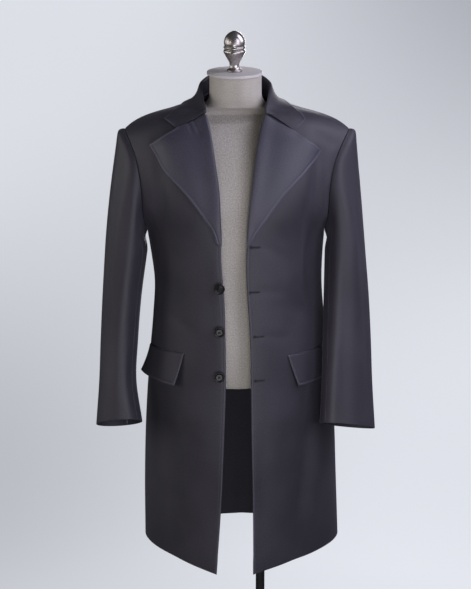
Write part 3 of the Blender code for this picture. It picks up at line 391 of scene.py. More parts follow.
# %% The three panels
def front_panel(side):
    sign = SIDES[side]
    curves = []
    for row, end in zip(FRONT_ROWS, SIDE_SEAM + FRONT_ARMHOLE):
        start = np.array([sign * getattr(row, "edge_x_" + side), row.edge_y, row.edge_z])
        curves.append(sweep(start, side_point(end, side), row, sign, 1.0))
    curves.append(lambda t: shoulder_seam(sign, t))
    return Panel("front_" + side, curves, sign)


def back_panel():
    """u runs from the right side seam (0) through the centre back (0.5) to the left one (1)."""
    curves = []
    for row, end in zip(BACK_ROWS, SIDE_SEAM + BACK_ARMHOLE):
        centre = np.array([(end.x_left - end.x_right) / 2, row.centre_y, row.centre_z])
        halves = [sweep(centre, side_point(end, side), row, sign, -1.0) for side, sign in SIDES.items()]

        def level(u, halves=halves):
            share = np.abs(2 * np.atleast_1d(u) - 1)
            return np.where((np.atleast_1d(u) > 0.5)[:, None], halves[1](share), halves[0](share))

        curves.append(level)

    def top(u):
        u = np.atleast_1d(u)
        sign = np.where(u > 0.5, 1.0, -1.0)[:, None]
        share = np.abs(2 * u - 1)
        nape, neck = np.array(NAPE), shoulder_seam(1.0, 0.0)[0]
        round_x = np.array([neck[0] * 0.55, nape[1], nape[2]])
        round_y = np.array([neck[0] * 0.95, nape[1] * 0.75 + neck[1] * 0.25, neck[2] + 0.009])
        arc = bezier(nape, round_x, round_y, neck, np.minimum(share / NECK_SHARE, 1))
        past = np.clip((share - NECK_SHARE) / (1 - NECK_SHARE), 0, 1)
        line = np.where(sign > 0, shoulder_seam(1.0, past), shoulder_seam(-1.0, past) * [-1, 1, 1])
        return np.where((share > NECK_SHARE)[:, None], line, arc) * np.hstack([sign, sign**2, sign**2])

    curves.append(top)
    return Panel("back", curves, -1.0)


panels = {side: front_panel(side) for side in SIDES}
panels["back"] = back_panel()
for name, panel in panels.items():
    print("panel", name, "is", round(panel.top, 3), "m long down its middle")

# %% [markdown]
# ## From a panel to a shell
#
# Cloth has two faces and a turned edge. A Solidify modifier gives square edges, which catch no
# light. This helper builds both faces from one grid of points and joins them with a half-round rim,
# as a pressed, turned edge looks. It also writes UVs in metres, so that a weave keeps its true size.

# %% Mesh helpers
def grid_normals(grid, outward, closed=False):
    if closed:
        across = np.roll(grid, -1, axis=1) - np.roll(grid, 1, axis=1)
    else:
        across = np.gradient(grid, axis=1)
    normals = unit(np.cross(across, np.gradient(grid, axis=0)))
    return normals if (normals * outward).sum() > 0 else -normals


def mesh_object(name, vertices, faces, uvs, materials, face_materials=None, smooth=True):
    mesh = bpy.data.meshes.new(name)
    mesh.from_pydata(np.asarray(vertices).tolist(), [], [list(map(int, f)) for f in faces])
    layer = mesh.uv_layers.new(name="cloth")
    corner = np.empty(len(mesh.loops), dtype=np.int32)
    mesh.loops.foreach_get("vertex_index", corner)
    layer.data.foreach_set("uv", np.asarray(uvs, dtype=np.float32)[corner].ravel())
    for one in materials:
        mesh.materials.append(one)
    if face_materials is not None:
        mesh.polygons.foreach_set("material_index", np.asarray(face_materials, dtype=np.int32))
    if smooth:
        mesh.shade_smooth()
    mesh.update()
    made = bpy.data.objects.new(name, mesh)
    bpy.context.scene.collection.objects.link(made)
    return made


def border_of(rows, columns):
    """The grid numbers of the points round the edge, in order."""
    ring = [(0, j) for j in range(columns)] + [(i, columns - 1) for i in range(1, rows)]
    ring += [(rows - 1, j) for j in range(columns - 2, -1, -1)] + [(i, 0) for i in range(rows - 2, 0, -1)]
    return np.array(ring)


print("border of a 3 by 4 grid:", len(border_of(3, 4)), "points")


# %% The shell helper
RIM_ANGLES = (45, 0, -45)


def shell(name, outer, normals, thickness, materials, painted_highlight=None):
    """A closed piece of cloth: outer face, half-round rim, inner face. Returns the object."""
    rows, columns = outer.shape[:2]
    depth = np.broadcast_to(np.asarray(thickness, float), (rows, columns))[..., None]
    ring = border_of(rows, columns)
    i, j = ring[:, 0], ring[:, 1]
    inward = np.zeros((len(ring), 3))
    for on_edge, step in ((i == 0, outer[1, j] - outer[0, j]),
                          (i == rows - 1, outer[-2, j] - outer[-1, j]),
                          (j == 0, outer[i, 1] - outer[i, 0]),
                          (j == columns - 1, outer[i, -2] - outer[i, -1])):
        inward += np.where(on_edge[:, None], unit(step), 0)
    up = normals[i, j]
    inward = unit(inward - up * (inward * up).sum(1, keepdims=True))
    radius = depth[i, j] / 2
    middle = outer[i, j] - up * radius + inward * radius
    outer, inner = outer.copy(), (outer - normals * depth).copy()
    outer[i, j] = middle + up * radius
    inner[i, j] = middle - up * radius
    rims = [middle - inward * radius * math.cos(math.radians(a)) + up * radius * math.sin(math.radians(a))
            for a in RIM_ANGLES]
    across = runs_of(outer)
    along = np.broadcast_to(run_of(outer.mean(axis=1))[:, None], (rows, columns))
    uv = np.stack([across - across[:, -1:] / 2, along], axis=2)
    vertices = np.concatenate([outer.reshape(-1, 3), inner.reshape(-1, 3)] + rims)
    flat_uv = uv.reshape(-1, 2)
    uvs = np.concatenate([flat_uv, flat_uv] + [uv[i, j]] * len(rims))
    count = rows * columns
    number = np.arange(count).reshape(rows, columns)
    corners = [number[:-1, :-1], number[:-1, 1:], number[1:, 1:], number[1:, :-1]]
    quads = np.stack(corners, axis=2).reshape(-1, 4)
    faces = [quads, quads[:, ::-1] + count]
    loops = [number[i, j]] + [2 * count + k * len(ring) + np.arange(len(ring)) for k in range(len(rims))]
    loops.append(number[i, j] + count)
    for a, b in zip(loops, loops[1:]):
        faces.append(np.stack([a, b, np.roll(b, -1), np.roll(a, -1)], axis=1))
    faces = np.concatenate(faces)
    sides = np.zeros(len(faces), dtype=int)
    sides[len(quads):2 * len(quads)] = len(materials) - 1
    if np.dot(np.cross(outer[0, 1] - outer[0, 0], outer[1, 1] - outer[0, 0]), normals[0, 0]) < 0:
        faces = faces[:, ::-1]
    made = mesh_object(name, vertices, faces, uvs, materials, sides)
    # a mask for the painted highlight that lightens the border of free edges, where they catch light
    if painted_highlight is not None:
        rim = np.tile(painted_highlight[i, j], len(rims))
        values = np.concatenate([painted_highlight.ravel(), np.zeros(count), rim]).astype(np.float32)
        made.data.attributes.new("painted_highlight", "FLOAT", "POINT").data.foreach_set("value", values)
    a, b, c = outer[:-1, :-1], outer[1:, :-1], outer[:-1, 1:]
    area = float(np.linalg.norm(np.cross(b - a, c - a), axis=2).sum())
    made["area"] = area
    print(f"{name}: {len(faces)} faces, {area:.3f} square metres of cloth")
    return made


def spread(total, near, far, count):
    """Distances from 0 to total: given small steps at both ends and even ones between."""
    middle = np.linspace(near[-1], total - far[-1], count)[1:-1]
    return np.concatenate([near, middle, [total - d for d in reversed(far)]])


print("shell rim steps:", len(RIM_ANGLES) + 2)

# %% [markdown]
# ## Effects that several finishes share
#
# A shader node group is built once and placed in each material with its own values. The weave group
# draws a steep twill from UVs in metres, so its ribs keep their true size on every piece. The tone
# group shifts a colour a little from place to place, as wool does where it is pressed, brushed or
# dusty. Both put out plain values and colours, and the Principled shader stays in the material.


# %% Node helpers
MIX_FACTOR, MIX_A, MIX_B, MIX_RESULT = 0, 6, 7, 2      # a colour Mix node's sockets, by number


def feed(tree, target, inputs):
    """Set each input of a node, or link it where a socket is given."""
    for key, value in inputs.items():
        if isinstance(value, bpy.types.NodeSocket):
            tree.links.new(value, target.inputs[key])
        else:
            target.inputs[key].default_value = value


def node(tree, kind, inputs=None, **settings):
    made = tree.nodes.new(kind)
    made.location = (len(tree.nodes) % 5 * 240, len(tree.nodes) // 5 * -300)
    for key, value in settings.items():
        setattr(made, key, value)
    feed(tree, made, inputs or {})
    return made


def group(name, inputs, outputs):
    """An empty node group with its sockets, and the values that it is given."""
    tree = bpy.data.node_groups.new(name, "ShaderNodeTree")
    for title, kind, value in inputs:
        socket = tree.interface.new_socket(title, in_out="INPUT", socket_type="NodeSocket" + kind)
        if value is not None:
            socket.default_value = value
    for title, kind in outputs:
        tree.interface.new_socket(title, in_out="OUTPUT", socket_type="NodeSocket" + kind)
    return tree, node(tree, "NodeGroupInput").outputs


def calc(tree, operation, *values):
    return node(tree, "ShaderNodeMath", dict(enumerate(values)), operation=operation).outputs[0]


def noise(tree, vector, scale, detail):
    inputs = {"Vector": vector, "Scale": scale, "Detail": detail}
    return node(tree, "ShaderNodeTexNoise", inputs).outputs["Fac"]


def remap(tree, value, low=0.0, high=1.0, to_low=0.0, to_high=1.0, **settings):
    inputs = {"Value": value, "From Min": low, "From Max": high, "To Min": to_low, "To Max": to_high}
    return node(tree, "ShaderNodeMapRange", inputs, **settings).outputs["Result"]


def between(tree, factor, a, b):
    """A colour between a and b."""
    inputs = {MIX_FACTOR: factor, MIX_A: a, MIX_B: b}
    return node(tree, "ShaderNodeMix", inputs, data_type="RGBA").outputs[MIX_RESULT]


def scaled(tree, colour, factor):
    inputs = {0: colour, "Scale": factor}
    return node(tree, "ShaderNodeVectorMath", inputs, operation="SCALE").outputs["Vector"]


helpers = (feed, node, group, calc, noise, remap, between, scaled)
print("node helpers:", [helper.__name__ for helper in helpers])

# %% The weave group
CROSS_RATE, CROSS_SHARE = 1.7, 0.35      # the finer threads across the ribs
SLUB_SCALE, SLUB_DETAIL = 420.0, 2.0


def make_weave():
    """A steep twill: diagonal ribs crossed by finer threads. Input vector in metres."""
    tree, given = group("twill weave", [("Vector", "Vector", None), ("Ribs per metre", "Float", 1100.0),
                                        ("Slope", "Float", 0.55), ("Slub", "Float", 0.35)],
                        [("Height", "Float")])
    axes = node(tree, "ShaderNodeSeparateXYZ", {0: given["Vector"]}).outputs
    line = calc(tree, "ADD", axes["X"], calc(tree, "MULTIPLY", axes["Y"], given["Slope"]))
    turns = calc(tree, "MULTIPLY", line, given["Ribs per metre"])
    rib = calc(tree, "SINE", calc(tree, "MULTIPLY", turns, 2 * math.pi))
    rate = calc(tree, "MULTIPLY", given["Ribs per metre"], 2 * math.pi * CROSS_RATE)
    cross = calc(tree, "SINE", calc(tree, "MULTIPLY", axes["Y"], rate))
    slub = calc(tree, "MULTIPLY", noise(tree, given["Vector"], SLUB_SCALE, SLUB_DETAIL), given["Slub"])
    threads = calc(tree, "ADD", rib, calc(tree, "MULTIPLY", cross, CROSS_SHARE))
    node(tree, "NodeGroupOutput", {"Height": calc(tree, "ADD", threads, slub)})
    return tree


WEAVE = make_weave()
print("weave sockets:", [item.name for item in WEAVE.interface.items_tree])

# %% The tone group
LINT_COLOUR = (0.16, 0.16, 0.17, 1)


def make_tone():
    """A colour that drifts between two tones, with a fine grain and a little pale lint."""
    tree, given = group("cloth tone", [("Vector", "Vector", None), ("Base", "Color", (0.03, 0.03, 0.04, 1)),
                                       ("Worn", "Color", (0.05, 0.05, 0.06, 1)),
                                       ("Patch scale", "Float", 7.0), ("Lint", "Float", 0.3),
                                       ("Grain", "Float", 1.1)],
                        [("Color", "Color"), ("Patches", "Float")])
    patches = remap(tree, noise(tree, given["Vector"], given["Patch scale"], 3.0), 0.35, 0.68)
    tones = between(tree, patches, given["Base"], given["Worn"])
    grain = calc(tree, "SUBTRACT", noise(tree, given["Vector"], 330.0, 2.5), 0.5)
    swing = calc(tree, "ADD", calc(tree, "MULTIPLY", grain, given["Grain"]), 1.0)
    specks = remap(tree, noise(tree, given["Vector"], 260.0, 1.0), 0.72, 0.86)
    lint = calc(tree, "MULTIPLY", specks, given["Lint"])
    linted = between(tree, lint, scaled(tree, tones, swing), LINT_COLOUR)
    node(tree, "NodeGroupOutput", {"Color": linted, "Patches": patches})
    return tree


TONE = make_tone()
print("tone sockets:", [item.name for item in TONE.interface.items_tree])

# %% [markdown]
# ## Finishes
#
# Worsted is dark, but it is never flat black: its twill ribs and its satin pressing give it a soft
# sheen. The sheen and specular numbers are the same all over, so they sit on the Principled shader.
# Colour and roughness drift through the tone group, and the ribs feed a Bump node. A mask written on
# each shell lightens the border of its free edges: a painted highlight where the turned edge catches
# light, with a little real wear of pressed wool.

# %% Cloth finish helper
EDGE_HIGHLIGHT_PAINT = 0.45          # how much lighter the border of a free edge is painted, as a highlight where it catches light
SHEEN_ROUGHNESS, SHEEN_TINT = 0.45, (0.72, 0.72, 0.86, 1)


def start_material(name):
    made = bpy.data.materials.new(name)
    made.use_nodes = True
    return made, made.node_tree, made.node_tree.nodes["Principled BSDF"]


def tone_of(tree, where, base, worn, values):
    inputs = {"Vector": where, "Base": (*base, 1), "Worn": (*worn, 1), **values}
    return node(tree, "ShaderNodeGroup", inputs, node_tree=TONE).outputs


def relief(tree, height, strength, distance):
    inputs = {"Height": height, "Strength": strength, "Distance": distance}
    return node(tree, "ShaderNodeBump", inputs).outputs["Normal"]


def cloth_material(name, base, worn, roughness, sheen, ribs=1100.0, bump=0.12, depth=0.00012, lint=0.3,
                   specular=0.35):
    made, tree, shader = start_material(name)
    where = node(tree, "ShaderNodeUVMap", uv_map="cloth").outputs["UV"]
    tone = tone_of(tree, where, base, worn, {"Lint": lint})
    ribbed = {"Vector": where, "Ribs per metre": ribs}
    weave = node(tree, "ShaderNodeGroup", ribbed, node_tree=WEAVE).outputs
    # painted highlight: the border of free edges is lightened where it catches light
    border = node(tree, "ShaderNodeAttribute", attribute_name="painted_highlight").outputs["Fac"]
    feed(tree, shader, {
        "Base Color": scaled(tree, tone["Color"], calc(tree, "MULTIPLY_ADD", border, EDGE_HIGHLIGHT_PAINT, 1.0)),
        "Roughness": remap(tree, tone["Patches"], to_low=roughness - 0.05, to_high=roughness + 0.06),
        "Normal": relief(tree, weave["Height"], bump, depth),
        "Specular IOR Level": specular, "Sheen Weight": sheen, "Sheen Roughness": SHEEN_ROUGHNESS,
        "Sheen Tint": SHEEN_TINT})
    return made


print("edge shine:", EDGE_HIGHLIGHT_PAINT)

# %% Cloth finishes
WORSTED = cloth_material("worsted", (0.0275, 0.0257, 0.0333), (0.0375, 0.0348, 0.0453), 0.56, 0.10,
                         specular=0.42)
# The facing is the same worsted painted lighter: painted sheen where the lapels catch the light. Its lower
# roughness and higher specular are real.
FACING_PAINTED_SHEEN = cloth_material("worsted facing with painted sheen", (0.036, 0.0345, 0.049), (0.045, 0.043, 0.062), 0.50, 0.12,
                        specular=0.5)
WORSTED_IN = cloth_material("worsted wrong side", (0.033, 0.031, 0.043), (0.043, 0.040, 0.055), 0.66, 0.04)
THREAD = cloth_material("black thread", (0.022, 0.021, 0.027), (0.032, 0.030, 0.038), 0.45, 0.1, ribs=2600.0)
JERSEY = cloth_material("jersey cover", (0.43, 0.40, 0.35), (0.50, 0.47, 0.42), 0.85, 0.15, ribs=700.0,
                        bump=0.35, depth=0.0003, lint=0.05)
print("cloth finishes:", [m.name for m in (WORSTED, FACING_PAINTED_SHEEN, WORSTED_IN, THREAD, JERSEY)])

# %% Hard finishes
HARD_GRAIN, HARD_RELIEF = 0.2, 0.0005


def hard_material(name, base, worn, roughness, metallic=0.0, scale=30.0, swing=0.08, bump=0.0, specular=0.5):
    """A hard finish whose colour and roughness drift with noise."""
    made, tree, shader = start_material(name)
    where = node(tree, "ShaderNodeTexCoord").outputs["Object"]
    tone = tone_of(tree, where, base, worn, {"Patch scale": scale, "Lint": 0.0, "Grain": HARD_GRAIN})
    feed(tree, shader, {
        "Base Color": tone["Color"],
        "Roughness": remap(tree, tone["Patches"], to_low=roughness - swing, to_high=roughness + swing),
        "Metallic": metallic, "Specular IOR Level": specular})
    if bump:
        feed(tree, shader, {"Normal": relief(tree, tone["Patches"], bump, HARD_RELIEF)})
    return made


HORN = hard_material("polished black horn", (0.008, 0.008, 0.009), (0.016, 0.015, 0.015), 0.16, scale=180.0,
                     swing=0.04, specular=0.12)
SLIT = hard_material("shadowed slit", (0.004, 0.004, 0.005), (0.006, 0.006, 0.007), 0.8)
BOARD = hard_material("painted board", (0.50, 0.47, 0.46), (0.56, 0.53, 0.52), 0.62, scale=24.0, bump=0.15)
SILVER = hard_material("aged silver", (0.60, 0.57, 0.54), (0.34, 0.31, 0.29), 0.30, metallic=0.9, scale=46.0,
                       swing=0.12, bump=0.1)
STEEL = hard_material("satin black steel", (0.028, 0.028, 0.031), (0.045, 0.044, 0.046), 0.42, metallic=0.3,
                      scale=14.0, bump=0.06)
print("hard finishes:", [m.name for m in (HORN, SLIT, BOARD, SILVER, STEEL)])

# %% [markdown]
# ## Stitches and welts
#
# A maker topstitches 6 mm in from each free edge. The thread pulls the cloth down in a fine groove,
# and the cloth between groove and edge plumps up. The welt helper gives that height from the
# distance to the edge. The stitches themselves are one small mesh for each run: a capsule repeated
# along the path.

# %% Welt helpers
TOPSTITCH = 0.0060
STITCH_PITCH = 0.0034
STITCH_RADIUS = 0.00038
GROOVE, GROOVE_WIDTH, PLUMP = 0.00055, 0.0011, 0.00035
# where the painted edge highlight stops short of the stitch line, and how softly it fades
HIGHLIGHT_SHORT, HIGHLIGHT_FADE = 0.0002, 0.0010
EDGE_STEPS = [0.0, 0.0014, 0.0027, 0.0040, 0.0051, 0.0060, 0.0069, 0.0081, 0.0105, 0.0150, 0.0210]
SEAM_STEPS = [0.0, 0.0013, 0.0032, 0.0065, 0.0120]
CAPSULE = [(-1.0, 0.35), (-0.72, 1.0), (0.72, 1.0), (1.0, 0.35)]      # place along a stitch, thickness there
CAPSULE_SIDES = 6


def welt(distance):
    groove = -GROOVE * np.exp(-((distance - TOPSTITCH) / GROOVE_WIDTH)**2)
    return groove + PLUMP * np.sin(np.pi * np.clip(distance / TOPSTITCH, 0, 1))


def painted_edge_highlight(distance):
    """How much painted highlight the border gets at each distance from a free edge, where the turned edge
    catches light.
    """
    return np.clip((TOPSTITCH - HIGHLIGHT_SHORT - distance) / HIGHLIGHT_FADE, 0, 1)


def distance_to(points, line):
    """How far each point is from a line of points."""
    flat = points.reshape(-1, 3)
    start, step = line[:-1], np.diff(line, axis=0)
    length = np.maximum((step**2).sum(1), 1e-12)
    best = np.full(len(flat), 9.0)
    for a, d, l2 in zip(start, step, length):
        t = np.clip((flat - a) @ d / l2, 0, 1)[:, None]
        best = np.minimum(best, np.linalg.norm(flat - a - d * t, axis=1))
    return best.reshape(points.shape[:-1])


def resample(line, gap):
    run = run_of(line)
    at = np.arange(gap / 2, run[-1], gap)
    return np.stack([np.interp(at, run, line[:, k]) for k in range(line.shape[1])], axis=1)


print("groove depth:", round(-1000 * float(welt(TOPSTITCH)), 2), "mm")


# %% Attaching, rings and faces
def wear(piece, slot, *nodes):
    """Every shown piece rides on the one rigid body and takes the place of its plain solid."""
    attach(piece, "root")
    if nodes:
        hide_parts(*nodes)
    return piece


def ring_angles(count):
    return np.arange(count) * 2 * math.pi / count


def tube(rings, sides, first=0):
    """The faces between rings of points that are numbered one after another from `first`."""
    return [[first + i * sides + k, first + i * sides + (k + 1) % sides,
             first + (i + 1) * sides + (k + 1) % sides, first + (i + 1) * sides + k]
            for i in range(rings - 1) for k in range(sides)]


def closed_tube(rings, sides, first=0):
    last = first + (rings - 1) * sides
    ends = [[first + k for k in reversed(range(sides))], [last + k for k in range(sides)]]
    return tube(rings, sides, first) + ends


def dome(rings, sides):
    """The faces from a middle point, number 0, out through rings of points."""
    fan = [[0, 1 + k, 1 + (k + 1) % sides] for k in range(sides)]
    return fan + [[a, d, c, b] for a, b, c, d in tube(rings, sides, 1)]


print("faces of a small dome:", len(dome(2, 6)))


# %% Thread and stitches
def capsules(name, middles, along, outs, length, radius):
    """Many small rounded bits of thread as one piece: each has a middle, a direction and a way up."""
    across = unit(np.cross(along, outs))
    outs = np.cross(across, along)
    parts = [middles + along * (x * length / 2) + across * (r * radius * math.cos(angle))
             + outs * (r * radius * math.sin(angle))
             for x, r in CAPSULE for angle in ring_angles(CAPSULE_SIDES)]
    faces = [face for k in range(len(middles))
             for face in closed_tube(len(CAPSULE), CAPSULE_SIDES, k * len(parts))]
    uvs = np.repeat(middles[:, [0, 2]], len(parts), axis=0)
    made = mesh_object(name, np.stack(parts, axis=1).reshape(-1, 3), faces, uvs, [THREAD])
    return wear(made, "coat_wool")


def stitch_run(name, line, outs, sink=0.0003):
    """A run of topstitching along a line that lies on the cloth."""
    both = resample(np.hstack([line, outs]), STITCH_PITCH)
    points, ups = both[:, :3], unit(both[:, 3:])
    along = unit(np.gradient(points, axis=0))
    made = capsules(name, points - ups * sink, along, ups, STITCH_PITCH * 0.8, STITCH_RADIUS)
    print(f"{name}: {len(points)} stitches")
    return made


print("faces of one stitch:", len(closed_tube(len(CAPSULE), CAPSULE_SIDES)))

# %% [markdown]
# ## The fronts and the back
#
# Front and back meet in one side seam, so both take that seam's line from the same table. Rows and
# columns crowd toward the edges, where the rim, the welt and the hem need them. The hem is turned up
# inside, which makes the cloth thicker for its last 36 mm.

# %% Side seam and rows
HEM_DEPTH, HEM_EXTRA, HEM_SOFT = 0.036, 0.0013, 0.0012
FLATTEST = 60              # past this power the hem's step is nothing
seam_heights = [row.z for row in SIDE_SEAM]
seam_points = {side: [side_point(row, side) for row in SIDE_SEAM] for side in SIDES}
ROW_STEPS = [0.0, 0.0014, 0.0030, 0.0060, 0.0120]
FRONT_COUNTS, BACK_COUNTS = (130, 44), (120, 76)         # rows and columns between the crowded edges


def meet_seam(grid, side, weights):
    """Move a grid's edge onto the shared side seam, and carry its neighbours along less and less."""
    edge = grid[:, -1] if weights[-1] == 1 else grid[:, 0]
    wanted = through(seam_heights, seam_points[side], np.minimum(edge[:, 2], seam_heights[-1]))
    shift = np.where((edge[:, 2] < seam_heights[-1])[:, None], wanted - edge, 0)
    shift[:, 2] = 0
    return grid + shift[:, None, :] * weights[None, :, None]


def places_on(panel, rows, first, last, count):
    """For each row, the u of columns at set distances from both edges."""
    fine = np.linspace(0, 1, 101)
    runs = runs_of(panel.at(fine[None, :], rows[:, None], folds=False))
    distances = [spread(run[-1], first, last, count) for run in runs]
    return np.array([np.interp(d, run, fine) for d, run in zip(distances, runs)]), np.array(distances)


def hem_thickness(rows, columns):
    step = np.exp(np.minimum((rows - HEM_DEPTH) / HEM_SOFT, FLATTEST))
    return np.repeat((CLOTH + HEM_EXTRA / (1 + step))[:, None], columns, axis=1)


print("side seam levels:", len(seam_heights))

# %% Fronts
for side, sign in SIDES.items():
    panel = panels[side]
    rows = spread(panel.top, ROW_STEPS, ROW_STEPS, FRONT_COUNTS[0])
    us, distances = places_on(panel, rows, EDGE_STEPS, SEAM_STEPS, FRONT_COUNTS[1])
    grid = meet_seam(panel.at(us, rows[:, None]), side, np.clip((us.mean(axis=0) - 0.75) / 0.25, 0, 1))
    normals = grid_normals(grid, np.array([sign * 0.4, -1.0, 0.2]))
    grid = grid + normals * (welt(distances) * 0.8)[..., None]
    made = shell("front_" + side + "_cloth", grid, normals, hem_thickness(rows, grid.shape[1]),
                 [WORSTED, WORSTED_IN], painted_edge_highlight(distances))
    stitched = [k for k in range(len(rows)) if rows[k] > TOPSTITCH and grid[k, 0, 2] < LAPEL_BREAK_Z]
    column = EDGE_STEPS.index(TOPSTITCH)
    run = stitch_run("topstitch_front_" + side, grid[stitched, column], normals[stitched, column])
    wear(made, "coat_wool", "front_" + side)

# %% Back
panel = panels["back"]
rows = spread(panel.top, ROW_STEPS, ROW_STEPS, BACK_COUNTS[0])
us, distances = places_on(panel, rows, SEAM_STEPS, SEAM_STEPS, BACK_COUNTS[1])
middle = us.mean(axis=0)
grid = meet_seam(panel.at(us, rows[:, None]), "left", np.clip((middle - 0.85) / 0.15, 0, 1))
grid = meet_seam(grid[:, ::-1], "right", np.clip((1 - middle[::-1] - 0.85) / 0.15, 0, 1))[:, ::-1]
normals = grid_normals(grid, np.array([0.0, 1.0, 0.2]))
back = shell("back_cloth", grid, normals, hem_thickness(rows, grid.shape[1]), [WORSTED, WORSTED_IN])
wear(back, "coat_wool", "back")

# %% [markdown]
# ## Lapels
#
# A lapel is the top of the front, turned back on itself. Its roll line isn't pressed flat: the cloth
# goes round in a soft roll and lies down toward the lapel's point. The sheet here starts behind the
# front's edge, rolls over it and is then laid on the chest, with a slight belly. Each lapel's outline
# is a short table, because a hand-drafted lapel isn't a plain shape.

# %% Lapel outline
LapelRow = namedtuple("LapelRow", "name roll_z edge_x_right edge_z_right edge_x_left edge_z_left")
LAPEL_ROWS = [
    LapelRow("break",    1.150, 0.0405, 1.1570, 0.0310, 1.1550),
    LapelRow("low",      1.170, 0.0485, 1.1827, 0.0399, 1.1710),
    LapelRow("belly",    1.193, 0.0644, 1.2068, 0.0638, 1.2052),
    LapelRow("middle",   1.232, 0.0965, 1.2498, 0.0975, 1.2522),
    LapelRow("upper",    1.265, 0.1206, 1.2764, 0.1185, 1.2745),
    LapelRow("wide",     1.300, 0.1450, 1.3015, 0.1411, 1.2967),
    LapelRow("near tip", 1.345, 0.1621, 1.3272, 0.1599, 1.3186),
    LapelRow("gorge",    1.411, 0.1784, 1.3493, 0.1792, 1.3392),
]
NOTCH_RISE, NOTCH_POWER = 0.008, 9
LAPEL_BELLY = 0.0034
LAPEL_LIFT = 0.0011
LAPEL_SPRING = 0.0046      # how far the free edge stands off the chest
LAPEL_SPRING_RUN = 0.095   # the width over which it comes up to that
LAPEL_HOLD = 0.018         # the gorge seam holds the lapel down over this distance
NARROW = 0.055             # below this width the columns near the edge are squeezed together
ROLL_STEPS = 9
LAPEL_ROW_COUNTS, LAPEL_COLUMNS = (66, 26), 34
ROLL_TUCK = 0.014          # how far the sheet reaches back inside the front
ROLL_RADIUS = {"low": 0.0016, "high": 0.0042}
DRAGS = [(-0.1015, 1.402, -0.0925, 1.386, 0.0034, 0.0024),     # pulls below the right gorge seam
         (-0.0877, 1.404, -0.0765, 1.384, 0.0042, 0.0026),
         (-0.0740, 1.408, -0.0670, 1.392, 0.0040, 0.0010)]
DRAG_FADE = 0.008
NOTCH_AT = {"right": 0.1226, "left": 0.1255}
print("lapel levels:", len(LAPEL_ROWS))


# %% Making the lapels
def drag_push(points):
    return -sum(deep * near_line(points, (x0, z0), (x1, z1), wide, DRAG_FADE)
                for x0, z0, x1, z1, wide, deep in DRAGS)


